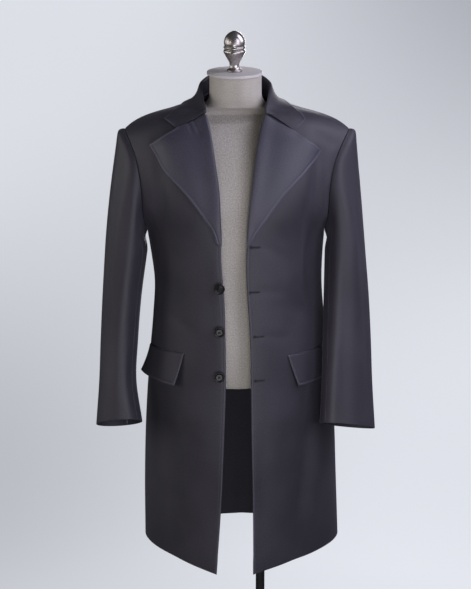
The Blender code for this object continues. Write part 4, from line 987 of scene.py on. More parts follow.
def make_lapel(side):
    sign, panel = SIDES[side], panels[side]
    table = [(row.roll_z, getattr(row, "edge_x_" + side), getattr(row, "edge_z_" + side))
             for row in LAPEL_ROWS]
    last = len(LAPEL_ROWS) - 1
    below, above = LAPEL_ROW_COUNTS
    ranks = np.concatenate([np.linspace(0, last - 1, below)[:-1], last - 1 + np.linspace(0, 1, above)**0.75])
    values = through(range(last + 1), table, ranks)
    v_roll = panel.roll(values[:, 0])
    roll = panel.at(np.zeros_like(v_roll), v_roll)
    edge_x, edge_z = sign * values[:, 1], values[:, 2]
    width = np.hypot(edge_x - roll[:, 0], edge_z - roll[:, 2])
    shares = []
    for w in width:
        squeeze = min(1.0, w / NARROW)
        outer = [d * squeeze for d in EDGE_STEPS]
        shares.append(spread(w, [0.0, 0.003 * squeeze, 0.008 * squeeze], outer, LAPEL_COLUMNS) / w)
    shares = np.array(shares)
    notch = (ranks / last)[:, None]**NOTCH_POWER
    x = roll[:, :1] + (edge_x[:, None] - roll[:, :1]) * shares
    z = roll[:, 2:] + (edge_z[:, None] - roll[:, 2:]) * shares
    z = z + NOTCH_RISE * notch * (1 - np.abs(2 * shares - 1))
    u, v = panel.find(shares * 0.5 + 0.01, np.repeat(v_roll[:, None], shares.shape[1], axis=1), x, z)
    surface = panel.at(u, v)
    ups = panel.normal(u.ravel(), v.ravel()).reshape(surface.shape)
    wide = np.linspace(0.15, 1.0, len(ranks))[:, None]
    radius = ROLL_RADIUS["low"] + (ROLL_RADIUS["high"] - ROLL_RADIUS["low"]) * np.clip(ranks / 2.5, 0, 1)
    near_roll = np.exp(-(shares * width[:, None] / 0.020)**2) * (radius[:, None] - LAPEL_LIFT)
    free = np.array([k for k in range(shares.shape[1]) if abs(surface[-1, k, 0]) > NOTCH_AT[side] - 0.002])
    from_gorge = distance_to(surface, surface[-1, :free[0] + 1])
    run = np.clip(shares * width[:, None] / LAPEL_SPRING_RUN, 0, 1)
    spring = LAPEL_SPRING * ease(run) * (1 - np.exp(-(from_gorge / LAPEL_HOLD)**2))
    belly = LAPEL_BELLY * wide * np.maximum(np.sin(np.pi * shares), 0)**0.9
    lift = LAPEL_LIFT + spring + belly + near_roll * 1.6
    surface = surface + ups * (lift + CLOTH + drag_push(surface) * (side == "right"))[..., None]
    outline = np.concatenate([surface[:, -1], surface[-1, free[::-1]]])
    distance = distance_to(surface, outline)
    surface = surface + ups * welt(distance)[..., None]
    # the roll: from inside the front, round its edge and up on to the lapel's first column
    start, up = surface[:, 0], ups[:, 0]
    side_way = unit(surface[:, 1] - surface[:, 0])
    down_way = unit(np.cross(up, side_way))
    side_way = unit(np.cross(down_way, up))
    full = (lift[:, 0] + CLOTH + CLOTH + 0.0012) / 2
    columns = [start - up * (2 * full)[:, None] + side_way * ROLL_TUCK,
               start - up * (2 * full)[:, None] + side_way * ROLL_TUCK * 0.5]
    for k in range(ROLL_STEPS):
        angle = math.pi * (k + 0.5) / (ROLL_STEPS + 0.5)
        columns.append(start - up * (full * (1 + math.cos(angle)))[:, None]
                       - side_way * (radius * 0.8 * math.sin(angle))[:, None])
    grid = np.concatenate([np.stack(columns, axis=1), surface], axis=1)
    outward = np.concatenate([np.zeros((len(ranks), len(columns), 3)), ups], axis=1)
    normals = grid_normals(grid, outward)
    border = np.hstack([np.zeros((len(ranks), len(columns))), painted_edge_highlight(distance)])
    made = shell("lapel_" + side + "_cloth", grid, normals, CLOTH, [FACING_PAINTED_SHEEN], border)
    # topstitching: up the outer edge, round the point and in to the notch
    line, outs = [], []
    half = shares.shape[1] // 2
    for k in range(len(ranks)):
        j = half + np.argmin(np.abs(distance[k, half:] - TOPSTITCH))
        from_end = np.linalg.norm(surface[k, j] - surface[-1, j])
        if width[k] > 0.02 and from_end > TOPSTITCH:
            line.append(surface[k, j])
            outs.append(ups[k, j])
    for j in free[::-1]:
        gap = np.linalg.norm(surface[:, j] - surface[-1, j], axis=1)
        k = np.argmin(np.abs(gap - TOPSTITCH))
        if distance_to(surface[k, j][None], surface[:, -1])[0] > TOPSTITCH * 1.02:
            line.append(surface[k, j])
            outs.append(ups[k, j])
    run = stitch_run("topstitch_lapel_" + side, np.array(line), np.array(outs))
    wear(made, "facing_wool", "lapel_" + side)


for side in SIDES:
    make_lapel(side)

# %% [markdown]
# ## Collar
#
# A coat collar has a stand that rises from the neck seam, a fold, and a fall that drops over the
# seam. Cross sections run from the centre back to the notch at each front. Toward the notch the
# stand dies away and the collar lies flat beside the lapel. The two halves are one piece.

# %% Collar sections
Collar = namedtuple("Collar", "name seam fold edge folded")
COLLAR_HALF = [
    Collar("centre back", (0.0000, 0.0880, 1.4470), (0.0000, 0.0945, 1.4790), (0.0000, 0.1120, 1.4290), 1),
    Collar("back",        (0.0300, 0.0855, 1.4440), (0.0310, 0.0910, 1.4770), (0.0450, 0.1050, 1.4270), 1),
    Collar("neck corner", (0.0555, 0.0735, 1.4380), (0.0565, 0.0745, 1.4710), (0.0840, 0.0850, 1.4225), 1),
    Collar("neck side",   (0.0710, 0.0520, 1.4290), (0.0720, 0.0520, 1.4630), (0.1060, 0.0520, 1.4190), 1),
    Collar("shoulder",    (0.0750, 0.0340, 1.4250), (0.0750, 0.0330, 1.4570), (0.1150, 0.0220, 1.4180), 1),
    Collar("front side",  (0.0735, 0.0050, 1.4250), (0.0735, 0.0000, 1.4485), (0.1220, -0.0060, 1.4180), 1),
    Collar("neck front",  (0.0700, -0.0250, 1.4225), (0.0705, -0.0300, 1.4390), (0.1290, -0.0220, 1.4150), 1),
    Collar("gorge",       (0.0645, -0.0600, 1.4160), (0.0650, -0.0620, 1.4240), (0.1370, -0.0340, 1.4110), 1),
    Collar("beside roll", (0.0745, -0.0660, 1.4130), (0.0745, -0.0660, 1.4130), (0.1400, -0.0370, 1.4095), 0),
]
NOTCH = {"right": (0.1226, -0.0823, 1.3875), "left": (0.1255, -0.0852, 1.3823)}
COLLAR_TIP = {"right": (0.1522, -0.0471, 1.4032), "left": (0.1480, -0.0543, 1.4015)}
FOLD_RADIUS = 0.0030
COLLAR_SAG = 0.0060
COLLAR_LIFT, COLLAR_EDGE_LIFT = 0.0017, 0.0036
PROFILE_COLUMNS = [0, 0.12, 0.5, 1, 1.5, 1.75, 2, 2.2, 2.4, 2.6, 2.8, 3, 3.2, 3.4, 3.6, 3.8, 4, 4.25, 4.5, 5,
                   5.5, 6, 6.5, 7, 7.3, 7.42, 7.52, 7.62, 7.72, 7.82, 7.91, 8]
OUTLINE_FROM, WELT_FROM, STITCH_COLUMN = 12, 16, 27      # columns of the profile
FAR_OFF = 0.05
HALF_ROWS = 76
EVEN_STOP = 0.28            # the even rows end this far before the notch
NOTCH_ROWS = np.array([0.22, 0.16, 0.11, 0.06, 0.03, 0])
print("collar sections:", len(COLLAR_HALF))


# %% Half of the collar
def collar_half(side):
    sign = SIDES[side]
    flip = np.array([sign, 1.0, 1.0])
    rows = COLLAR_HALF + [Collar("notch", NOTCH[side], NOTCH[side], COLLAR_TIP[side], 0)]
    numbers = [np.concatenate([row.seam, row.fold, row.edge]) for row in rows]
    last = len(rows) - 1
    at = np.concatenate([np.linspace(0, last - EVEN_STOP, HALF_ROWS), last - NOTCH_ROWS])
    values = through(range(last + 1), numbers, at)
    folded = np.interp(at, range(last + 1), [row.folded for row in rows])
    seam, fold, edge = (values[:, k:k + 3] * flip for k in (0, 3, 6))
    ridge_y = shoulder_seam(1.0, 0.25)[0, 1]
    behind = values[:, 7] > ridge_y
    up = np.array([0.0, 0.0, 1.0])

    def lay(points, lift, flat=False):
        made = np.empty_like(points)
        for mask, panel, guess in ((behind, panels["back"], (0.5 + sign * 0.15, panels["back"].top * 0.97)),
                                   (~behind, panels[side], (0.3, panels[side].top * 0.95))):
            made[mask] = panel.lay(guess, points[mask], lift, flat)
        return made

    edge = lay(edge, COLLAR_EDGE_LIFT, True)
    out = edge - fold
    out[:, 2] = 0
    out = unit(np.where(np.linalg.norm(out, axis=1, keepdims=True) > 1e-6, out, [sign, 0, 0]))
    foot = lay(seam, COLLAR_LIFT, True)
    near, far = fold - (out + up) * FOLD_RADIUS, fold + (out - up) * FOLD_RADIUS
    sag = (out + up) * COLLAR_SAG
    fall = [lay(far + (edge - far) * s - sag * math.sin(math.pi * s), COLLAR_LIFT)
            for s in (0.25, 0.5, 0.75)]
    standing = np.stack([foot, (foot + near) / 2, near, fold, far] + fall + [edge], axis=1)
    shares = (0.0, 0.06, 0.12, 0.18, 0.26, 0.42, 0.60, 0.80)
    lying = np.stack([lay(foot + (edge - foot) * s, COLLAR_LIFT, True) for s in shares] + [edge], axis=1)
    stand = ease(folded)[:, None, None]
    return standing * stand + lying * (1 - stand)


print("profile columns:", len(PROFILE_COLUMNS))


# %% The whole collar
def make_collar():
    halves = [collar_half(side) for side in SIDES]
    middle = np.concatenate([halves[0][::-1], halves[1][1:]])
    fine = np.stack([through(range(len(row)), row, PROFILE_COLUMNS) for row in middle])
    normals = grid_normals(fine, np.array([0.0, 0.0, 1.0]))
    outline = np.concatenate([fine[0, OUTLINE_FROM:], fine[:, -1], fine[-1, OUTLINE_FROM:][::-1]])
    distance = distance_to(fine, outline)
    distance[:, :WELT_FROM] = FAR_OFF
    grid = fine + normals * (CLOTH / 2 + welt(distance))[..., None]
    made = shell("collar_cloth", grid, normals, CLOTH, [WORSTED], painted_edge_highlight(distance))
    run = stitch_run("topstitch_collar", grid[4:-4, STITCH_COLUMN], normals[4:-4, STITCH_COLUMN])
    wear(made, "coat_wool", "collar")


make_collar()

# %% [markdown]
# ## Sleeves
#
# A two-piece sleeve has a wide top sleeve and a narrow under sleeve, joined by a forearm seam and a
# hind seam. The head is eased into the armhole, so it stands up as a crisp ridge over the shoulder
# and then falls almost straight. The arm bends a little forward.

# %% Sleeve levels
SleeveRow = namedtuple("SleeveRow", "name z outer inner middle_y half_depth skew rise_y rise_x")
SLEEVES = {
    "right": [
        SleeveRow("bicep",  1.100, 0.2840, 0.1915, -0.006, 0.078, 0.000, 0.00, 0.00),
        SleeveRow("above",  1.000, 0.2905, 0.2052, -0.014, 0.071, 0.000, 0.00, 0.00),
        SleeveRow("elbow",  0.905, 0.2955, 0.2133, -0.024, 0.066, 0.000, 0.00, 0.00),
        SleeveRow("below",  0.820, 0.2990, 0.2172, -0.044, 0.060, 0.004, 0.16, 0.02),
        SleeveRow("cuff",   0.727, 0.3062, 0.2038, -0.070, 0.050, 0.008, 0.50, 0.05),
    ],
    "left": [
        SleeveRow("bicep",  1.100, 0.2825, 0.1935, -0.008, 0.078, 0.004, 0.00, 0.00),
        SleeveRow("above",  1.000, 0.2915, 0.1912, -0.022, 0.068, 0.016, 0.00, 0.00),
        SleeveRow("elbow",  0.905, 0.2970, 0.1885, -0.046, 0.060, 0.028, 0.00, 0.00),
        SleeveRow("below",  0.820, 0.3005, 0.1865, -0.066, 0.054, 0.030, 0.14, 0.03),
        SleeveRow("cuff",   0.727, 0.3066, 0.1826, -0.088, 0.046, 0.024, 0.43, 0.07),
    ],
}
FRONT_SEAM, HIND_SEAM = 0.40, 0.70
HEAD_RIDGE, HEAD_RIDGE_AT = 0.0085, 0.10
HEAD_ROWS, ARM_ROWS, HOLE_POINTS = 34, 70, 60
TOP_COLUMNS, UNDER_COLUMNS = 46, 20
SleeveFold = namedtuple("SleeveFold", "side share z_top z_low width drift depth")
SLEEVE_FOLDS = [
    SleeveFold("right", 0.10, 1.30, 0.95, 0.020, 0.02, -0.0030),
    SleeveFold("right", 0.22, 1.22, 0.90, 0.026, -0.03, -0.0034),
    SleeveFold("right", 0.30, 1.10, 0.80, 0.020, 0.03, 0.0022),
    SleeveFold("right", 0.83, 1.25, 0.90, 0.030, 0.02, -0.0036),
    SleeveFold("right", 0.62, 1.05, 0.88, 0.022, 0.00, -0.0030),
    SleeveFold("left",  0.12, 1.28, 0.92, 0.022, -0.02, -0.0032),
    SleeveFold("left",  0.24, 1.20, 0.84, 0.026, 0.03, -0.0034),
    SleeveFold("left",  0.33, 1.08, 0.82, 0.018, 0.02, 0.0020),
    SleeveFold("left",  0.85, 1.24, 0.88, 0.030, -0.02, -0.0036),
    SleeveFold("left",  0.64, 1.04, 0.86, 0.022, 0.00, -0.0030),
]
print("sleeve folds:", len(SLEEVE_FOLDS))


# %% Armhole and arm
def armhole(side):
    """The armhole as a function of its share round, taken from the front's and the back's own edges."""
    front, back = panels[side], panels["back"]
    underarm = len(SIDE_SEAM) - 1
    v_front = np.linspace(front.top, front.stations[underarm], HOLE_POINTS)
    v_back = np.linspace(back.stations[underarm], back.top, HOLE_POINTS)
    back_edge = np.full(HOLE_POINTS, 1.0 if side == "left" else 0.0)
    halves = [front.at(np.ones(HOLE_POINTS), v_front, folds=False), back.at(back_edge, v_back, folds=False)]
    runs = [run_of(half) for half in halves]

    def at(share):
        half = 0 if share % 1.0 <= 0.5 else 1
        within = ((share % 1.0) * 2 - half) * runs[half][-1]
        return np.array([np.interp(within, runs[half], halves[half][:, k]) for k in range(3)])

    return at


def sleeve_ring(row, sign, share):
    angle = 2 * math.pi * share
    across = math.cos(angle)
    x = (row.outer + row.inner) / 2 + (row.outer - row.inner) / 2 * across
    dy = -row.half_depth * math.sin(angle) + row.skew * across
    z = row.z - row.rise_y * dy - row.rise_x * (row.outer - row.inner) / 2 * across
    return np.array([sign * x, row.middle_y + dy, z])


print("left armhole, in front:", armhole("left")(0.25).round(3))


# %% Making the sleeves
def make_sleeve(side):
    sign, rows, hole = SIDES[side], SLEEVES[side], armhole(side)
    seam_gaps = np.array([0.0, 0.006, 0.015, 0.03])
    spans = {"top": (HIND_SEAM - 1, FRONT_SEAM, TOP_COLUMNS),
             "under": (FRONT_SEAM, HIND_SEAM, UNDER_COLUMNS)}
    shares, split = [], {}
    for piece, (start, end, count) in spans.items():
        inner = np.linspace(start + seam_gaps[-1], end - seam_gaps[-1], count)[1:-1]
        own = np.concatenate([start + seam_gaps, inner, (end - seam_gaps)[::-1]])
        split[piece] = range(len(shares), len(shares) + len(own))
        shares += list(own[:-1])
    columns = []
    for share in shares:
        angle = 2 * math.pi * share
        rings = np.array([sleeve_ring(row, sign, share) for row in rows])
        out = np.array([sign * (0.62 + 0.35 * math.cos(angle)), -0.55 * math.sin(angle),
                        -0.45 + 0.20 * math.cos(angle)])
        out /= np.linalg.norm(out)
        start = hole(share) + out * 0.0004
        upward = unit(rings[0] - rings[1])
        reach = np.linalg.norm(rings[0] - start)
        first = start + out * (0.018 + 0.012 * (1 - math.cos(angle)) / 2)
        second = rings[0] + upward * reach * 0.42
        down = (np.arange(HEAD_ROWS) / HEAD_ROWS)**1.6
        ridge = HEAD_RIDGE * down / HEAD_RIDGE_AT * np.exp(1 - down / HEAD_RIDGE_AT)
        ridge *= max(math.cos(angle), 0)**1.5
        head = bezier(start, first, second, rings[0], down) + np.outer(ridge, [sign, 0.0, 0.0])
        stations = run_of(rings)
        low = stations[-1] - np.array([0.0120, 0.0060, 0.0028, 0.0013, 0.0])
        arm = through(stations, rings, np.concatenate([np.linspace(0, low[0] - 0.004, ARM_ROWS), low]))
        columns.append(np.concatenate([head, arm]))
    grid = np.array(columns).transpose(1, 0, 2)
    middle = grid.mean(axis=1, keepdims=True)
    normals = grid_normals(grid, grid - middle, closed=True)
    push = np.zeros(grid.shape[:2])
    for fold in SLEEVE_FOLDS:
        if fold.side == side:
            share_down = (fold.z_top - grid[..., 2]) / (fold.z_top - fold.z_low)
            line = fold.share + fold.drift * np.clip(share_down, 0, 1)
            off = (np.array(shares)[None, :] - line + 0.5) % 1.0 - 0.5
            past = np.maximum(-share_down, 0) + np.maximum(share_down - 1, 0)
            push += fold.depth * np.exp(-(off / fold.width * 0.5)**2 * 1.2 - (past / 0.35)**2)
    head_calm = np.clip((np.arange(len(grid)) - 6) / 16, 0, 1)[:, None]
    grid = grid + normals * (push * head_calm)[..., None]
    normals = grid_normals(grid, grid - middle, closed=True)
    for piece, span in split.items():
        wanted = [k % grid.shape[1] for k in span]
        name = f"sleeve_{piece}_{side}"
        part_grid = grid[:, wanted].copy()
        for edge, next_in in ((0, 1), (-1, -2)):
            part_grid[:, edge] += unit(part_grid[:, next_in] - part_grid[:, edge]) * 0.0002
        made = shell(name + "_cloth", part_grid, normals[:, wanted], SLEEVE_CLOTH, [WORSTED, WORSTED_IN])
        wear(made, "coat_wool", name)


for side in SIDES:
    make_sleeve(side)

# %% [markdown]
# ## Pocket flaps
#
# A flap is sewn into the pocket's mouth along its top edge, so that edge sinks into a crease. The
# rest hangs free: its lower edge stands off the skirt and its far corner flares a little.

# %% Flap sizes
FLAP_TOP_Z, FLAP_LOW_Z = 0.906, 0.832
FLAP_FRONT_X = 0.110
FLAP_SLANT = {"right": 0.012, "left": 0.021}
FLAP_LENGTH = {"right": 0.150, "left": 0.132}
FLAP_FLARE = {"right": 0.013, "left": 0.006}
FLAP_CORNER_FLARE = {"right": 0.004, "left": 0.0}
FLAP_FALL_TOP = {"right": 0.017, "left": 0.008}
FLAP_FALL_LOW = {"right": 0.006, "left": 0.002}
FLAP_LIFT = 0.0009
FLAP_WAVE = 0.0011
print("flap height:", round(FLAP_TOP_Z - FLAP_LOW_Z, 3))


# %% Making the flaps
def make_flap(side):
    sign, panel = SIDES[side], panels[side]
    height = FLAP_TOP_Z - FLAP_LOW_Z
    downs = spread(height, [0.0, 0.0010, 0.0022, 0.0040, 0.0070], EDGE_STEPS[:9], 16) / height
    shares = spread(FLAP_LENGTH[side], EDGE_STEPS[:9], EDGE_STEPS[:9], 26) / FLAP_LENGTH[side]
    fine = np.linspace(0, 1, 161)
    surface, normals, lift = [], [], []
    for down in downs:
        z = FLAP_TOP_Z - height * down
        front_x = FLAP_FRONT_X + FLAP_SLANT[side] * down
        u_front, v = (float(a) for a in panel.find(0.4, panel.roll(FLAP_TOP_Z), sign * front_x, z))
        line = panel.at(u_front + (1 - u_front) * fine, np.full(161, v), folds=False)
        run = run_of(line)
        length = FLAP_LENGTH[side] - FLAP_SLANT[side] * down
        us = u_front + (1 - u_front) * np.interp(length * shares, run, fine)
        fall = FLAP_FALL_TOP[side] + (FLAP_FALL_LOW[side] - FLAP_FALL_TOP[side]) * down
        vs = v - fall * shares
        surface.append(panel.at(us, vs))
        normals.append(panel.normal(us, vs))
        free = FLAP_LIFT + FLAP_FLARE[side] * down**1.4 + FLAP_CORNER_FLARE[side] * down**2 * shares**3
        free += FLAP_WAVE * down * np.sin(2 * math.pi * (shares * 1.3 + 0.1)) * np.sin(math.pi * shares)
        sunk = np.exp(-(down * height / 0.0022)**2) * 0.0030
        lift.append(np.maximum(free, 0.0005) - sunk)
    surface, normals, lift = np.array(surface), np.array(normals), np.array(lift)[..., None]
    outer = surface + normals * (lift + CLOTH)
    ups = grid_normals(outer, normals)
    outline = np.concatenate([outer[:, 0], outer[-1, 1:], outer[::-1, -1][1:]])
    distance = distance_to(outer, outline)
    outer = outer + ups * welt(distance)[..., None]
    made = shell("flap_" + side + "_cloth", outer, ups, CLOTH, [WORSTED], painted_edge_highlight(distance))
    j = EDGE_STEPS.index(TOPSTITCH)
    path = [(i, j) for i in range(6, len(downs) - 1 - j)] + [(-1 - j, c) for c in range(j, len(shares) - j)]
    path += [(i, -1 - j) for i in range(len(downs) - 2 - j, 5, -1)]
    line = np.array([outer[p] for p in path])
    run = stitch_run("topstitch_flap_" + side, line, np.array([ups[p] for p in path]))
    wear(made, "coat_wool", "flap_" + side)


for side in SIDES:
    make_flap(side)

# %% [markdown]
# ## Buttons
#
# Each button is black horn, 23 mm across, with a raised rim, a dish and four holes. It stands on a
# thread shank and leans toward the opening. The holes are part of one fine polar grid of heights, so
# their lips are soft, as drilled and tumbled horn has.

# %% Button sizes
BUTTON_X = 0.0345
BUTTON_HEIGHTS = {"top": 1.059, "middle": 0.965, "bottom": 0.866}
BUTTON_RADIUS = 0.0117
BUTTON_LEAN = math.radians(16)
SHANK_RADIUS, SHANK_HEIGHT = 0.0021, 0.0030
HOLE_RADIUS, HOLE_OFF = 0.00085, 0.00165
BUTTON_SEGMENTS = 96
DISH_HEIGHT, DISH_RINGS, HOLE_DEPTH, HOLE_LIP = 0.0022, 24, 0.0013, 0.00009
BUTTON_EDGE = [(0.55, 0.0023), (0.66, 0.00262), (0.72, 0.0030), (0.80, 0.00342), (0.87, 0.0036),
               (0.94, 0.00345), (0.985, 0.0029), (1.0, 0.0022), (0.99, 0.0014), (0.92, 0.0008),
               (0.80, 0.0004), (0.5, 0.0001)]      # share of the radius, and height
EDGE_RINGS = 48
WOUND_TURNS, WOUND_STEPS = 12, 16
print("button width:", round(2 * BUTTON_RADIUS, 4))


# %% Making the buttons
def make_button(name, height):
    n, dish = BUTTON_SEGMENTS, DISH_RINGS
    flat = np.linspace(0, BUTTON_RADIUS * BUTTON_EDGE[0][0], dish + 2)[1:-1]
    edge = [(BUTTON_RADIUS * r, z) for r, z in BUTTON_EDGE] + [(SHANK_RADIUS, 0.0)]
    hollow = np.column_stack([flat, DISH_HEIGHT + 0.0001 * (flat / flat[-1])**4])
    rim = through(range(len(edge)), edge, np.linspace(0, len(edge) - 1, EDGE_RINGS))
    profile = np.vstack([hollow, rim])
    angles = ring_angles(n)
    ring = np.stack([np.outer(profile[:, 0], np.cos(angles)), np.outer(profile[:, 0], np.sin(angles)),
                     np.repeat(profile[:, 1:], n, axis=1)], axis=2)
    for k in range(4):
        turn = math.pi * (k / 2 + 0.25)
        off = np.hypot(ring[:dish, :, 0] - HOLE_OFF * math.cos(turn),
                       ring[:dish, :, 1] - HOLE_OFF * math.sin(turn))
        ring[:dish, :, 2] -= HOLE_DEPTH / (1 + np.exp((off - HOLE_RADIUS) / HOLE_LIP))
    points = np.vstack([[0, 0, DISH_HEIGHT], ring.reshape(-1, 3)])
    faces = dome(len(profile), n) + [[1 + (len(profile) - 1) * n + k for k in reversed(range(n))]]
    panel = panels["right"]
    u, v = panel.find([0.05], panel.roll([height]), np.array([-BUTTON_X]), np.array([height]))
    foot, out = panel.at(u, v)[0], panel.normal(u, v)[0]
    side = np.array([1.0, 0.0, 0.0])
    axis = out * math.cos(BUTTON_LEAN) + side * math.sin(BUTTON_LEAN)
    axis /= np.linalg.norm(axis)
    up = np.cross(axis, side)
    up /= np.linalg.norm(up)
    ways = np.stack([np.cross(up, axis), up, axis])
    place_at = foot + out * (0.0003 + SHANK_RADIUS * math.sin(BUTTON_LEAN)) + axis * SHANK_HEIGHT

    def put(points):
        return place_at + points[:, :1] * ways[0] + points[:, 1:2] * ways[1] + points[:, 2:] * ways[2]

    disc = mesh_object(f"button_{name}_horn", put(points), faces, points[:, :2], [HORN])
    wear(disc, "horn", "button_" + name)
    # two bars of thread through the holes, and the thread wound round the shank
    bars = np.array([[0.0, y * HOLE_OFF * 0.7071 + (k - 1) * 0.00032, 0.00235]
                     for y in (-1, 1) for k in range(3)])
    capsules(f"button_{name}_thread", put(bars), np.array([[1.0, 0.0, 0.0]] * len(bars)) @ ways,
             np.repeat(axis[None], len(bars), axis=0), HOLE_OFF * 1.75, 0.00022)
    steps = np.arange(WOUND_TURNS * WOUND_STEPS)
    x, y = np.cos(steps * 2 * math.pi / WOUND_STEPS), np.sin(steps * 2 * math.pi / WOUND_STEPS)
    wound = np.column_stack([SHANK_RADIUS * 0.8 * x, SHANK_RADIUS * 0.8 * y,
                             -SHANK_HEIGHT + SHANK_HEIGHT * steps / len(steps)])
    flat_way = np.zeros(len(steps))
    capsules(f"button_{name}_shank", put(wound), np.column_stack([-y, x, flat_way]) @ ways,
             np.column_stack([x, y, flat_way]) @ ways, 0.0009, 0.00026)


for name, height in BUTTON_HEIGHTS.items():
    make_button(name, height)
print("buttons:", len(BUTTON_HEIGHTS))

# %% [markdown]
# ## Buttonholes
#
# Tailored keyhole buttonholes are cut through the wearer's left front: a straight slit about 18 mm
# long and a small round eye at the edge end. Close stitches of silk twist stand up round them.

# %% Keyhole outline
BUTTONHOLES = [(0.0410, 1.1470), (0.0398, 1.0507), (0.0491, 0.9541), (0.0508, 0.8572)]
SLIT_LENGTH, SLIT_HALF, EYE_RADIUS = 0.0165, 0.0010, 0.0026
TWIST_PITCH, TWIST_LENGTH, TWIST_RADIUS = 0.00062, 0.0019, 0.00033


def keyhole(steps):
    """The outline of a keyhole slit about its middle, eye toward -X, and the way out of it."""
    turns = np.linspace(math.radians(25), math.radians(335), steps)
    eye = np.column_stack([np.cos(turns) * EYE_RADIUS, np.sin(turns) * EYE_RADIUS])
    eye[:, 0] -= SLIT_LENGTH / 2
    far = SLIT_LENGTH / 2 + EYE_RADIUS
    upper = np.column_stack([np.linspace(eye[0, 0], far, 40), np.full(40, SLIT_HALF)])[1:]
    lower = upper[::-1] * [1, -1]
    tip = np.array([[far + SLIT_HALF, 0.0]])
    return np.vstack([eye[::-1], upper, tip, lower, eye[-1:]])


print("keyhole outline points:", len(keyhole(25)))


# %% Buttonholes
def make_buttonhole(number, x, z):
    panel = panels["left"]
    outline = keyhole(25)

    def on_cloth(flat, lift):
        guess = np.full(len(flat), 0.06), panel.roll(np.full(len(flat), z))
        u, v = panel.find(*guess, x + flat[:, 0], z + flat[:, 1])
        out = panel.normal(u, v)
        return panel.at(u, v) + out * lift, out

    middle = resample(outline, TWIST_PITCH)
    step = np.gradient(middle, axis=0)
    outward = unit(np.column_stack([-step[:, 1], step[:, 0]]))
    if (outward * middle).sum() < 0:
        outward = -outward
    points, outs = on_cloth(middle + outward * TWIST_LENGTH * 0.35, 0.0001)
    tips, _ = on_cloth(middle + outward * TWIST_LENGTH * 0.55, 0.0001)
    capsules(f"buttonhole_{number}_twist", points, unit(tips - points), outs, TWIST_LENGTH, TWIST_RADIUS)
    inner, outs = on_cloth(outline[:-1] * [1.0, 0.85], 0.00022)
    n = len(inner)
    faces = [list(range(n)), list(reversed(range(n, 2 * n)))]
    faces += [[k, k + n, (k + 1) % n + n, (k + 1) % n] for k in range(n)]
    made = mesh_object(f"buttonhole_{number}_slit", np.vstack([inner, inner - outs * 0.0003]), faces,
                       np.vstack([outline[:-1], outline[:-1]]), [SLIT], smooth=False)
    wear(made, "coat_wool")


for k, (x, z) in enumerate(BUTTONHOLES):
    make_buttonhole(k + 1, x, z)
print("buttonholes:", len(BUTTONHOLES))

# %% [markdown]
# ## Dress form
#
# The form has no limbs. Its torso is a padded shell under jersey, cut off flat below the hip. A
# painted board closes the neck, with a turned acorn finial on it. The same few levels as the rigid
# frame's make a smooth skin here, a hair smaller than the coat it carries.

# %% Torso
FORM_CENTRE_X = -0.002
SKIN_IN = 0.0004
TorsoRow = namedtuple("TorsoRow", "name z half_width front_y back_y")
TORSO_ROWS = [
    TorsoRow("foot",       0.8200, 0.150, -0.118, 0.098),
    TorsoRow("seat",       0.8600, 0.160, -0.128, 0.108),
    TorsoRow("hip",        0.9400, 0.158, -0.130, 0.096),
    TorsoRow("waist",      1.0200, 0.148, -0.126, 0.080),
    TorsoRow("ribs",       1.1000, 0.156, -0.128, 0.086),
    TorsoRow("chest",      1.1900, 0.168, -0.128, 0.102),
    TorsoRow("chest high", 1.2600, 0.172, -0.118, 0.108),
    TorsoRow("armpit",     1.3200, 0.172, -0.094, 0.106),
    TorsoRow("shoulder",   1.3650, 0.170, -0.060, 0.098),
    TorsoRow("slope low",  1.3880, 0.161, -0.034, 0.080),
    TorsoRow("slope 1",    1.4017, 0.1497, -0.004, 0.048),
    TorsoRow("slope 2",    1.4082, 0.1295, -0.008, 0.058),
    TorsoRow("slope 3",    1.4132, 0.1095, -0.014, 0.066),
    TorsoRow("neck foot",  1.4205, 0.071, -0.030, 0.072),
    TorsoRow("neck root",  1.4290, 0.062, -0.036, 0.068),
    TorsoRow("neck low",   1.4420, 0.057, -0.044, 0.064),
    TorsoRow("neck",       1.4620, 0.056, -0.050, 0.060),
    TorsoRow("neck top",   1.4880, 0.056, -0.055, 0.056),
]
FORM_SEGMENTS = 96
STRAIGHT_FROM, STRAIGHT_TO = 8, 13       # between these rows the shoulder's slope is straight
print("torso levels:", len(TORSO_ROWS))


# %% The skin of the torso
def superring(z, half_width, front_y, back_y, squash):
    angles = ring_angles(FORM_SEGMENTS)
    middle, half = (front_y + back_y) / 2, (back_y - front_y) / 2
    return np.column_stack([(half_width - squash) * np.cos(angles), middle + (half - squash) * np.sin(angles),
                            np.full(FORM_SEGMENTS, z)])


def lathe(name, rings, material, centre=(0.0, 0.0)):
    """A closed skin through rings of points, with a flat face at each end."""
    n = len(rings[0])
    points = np.concatenate(rings) + np.array([centre[0], centre[1], 0.0])
    reach = np.hypot(points[:, 0] - centre[0], points[:, 1] - centre[1])
    turn = np.tile(np.arange(n) / n, len(rings))
    uvs = np.column_stack([turn * 2 * math.pi * np.max(reach), points[:, 2]])
    return mesh_object(name, points, closed_tube(len(rings), n), uvs, [material])


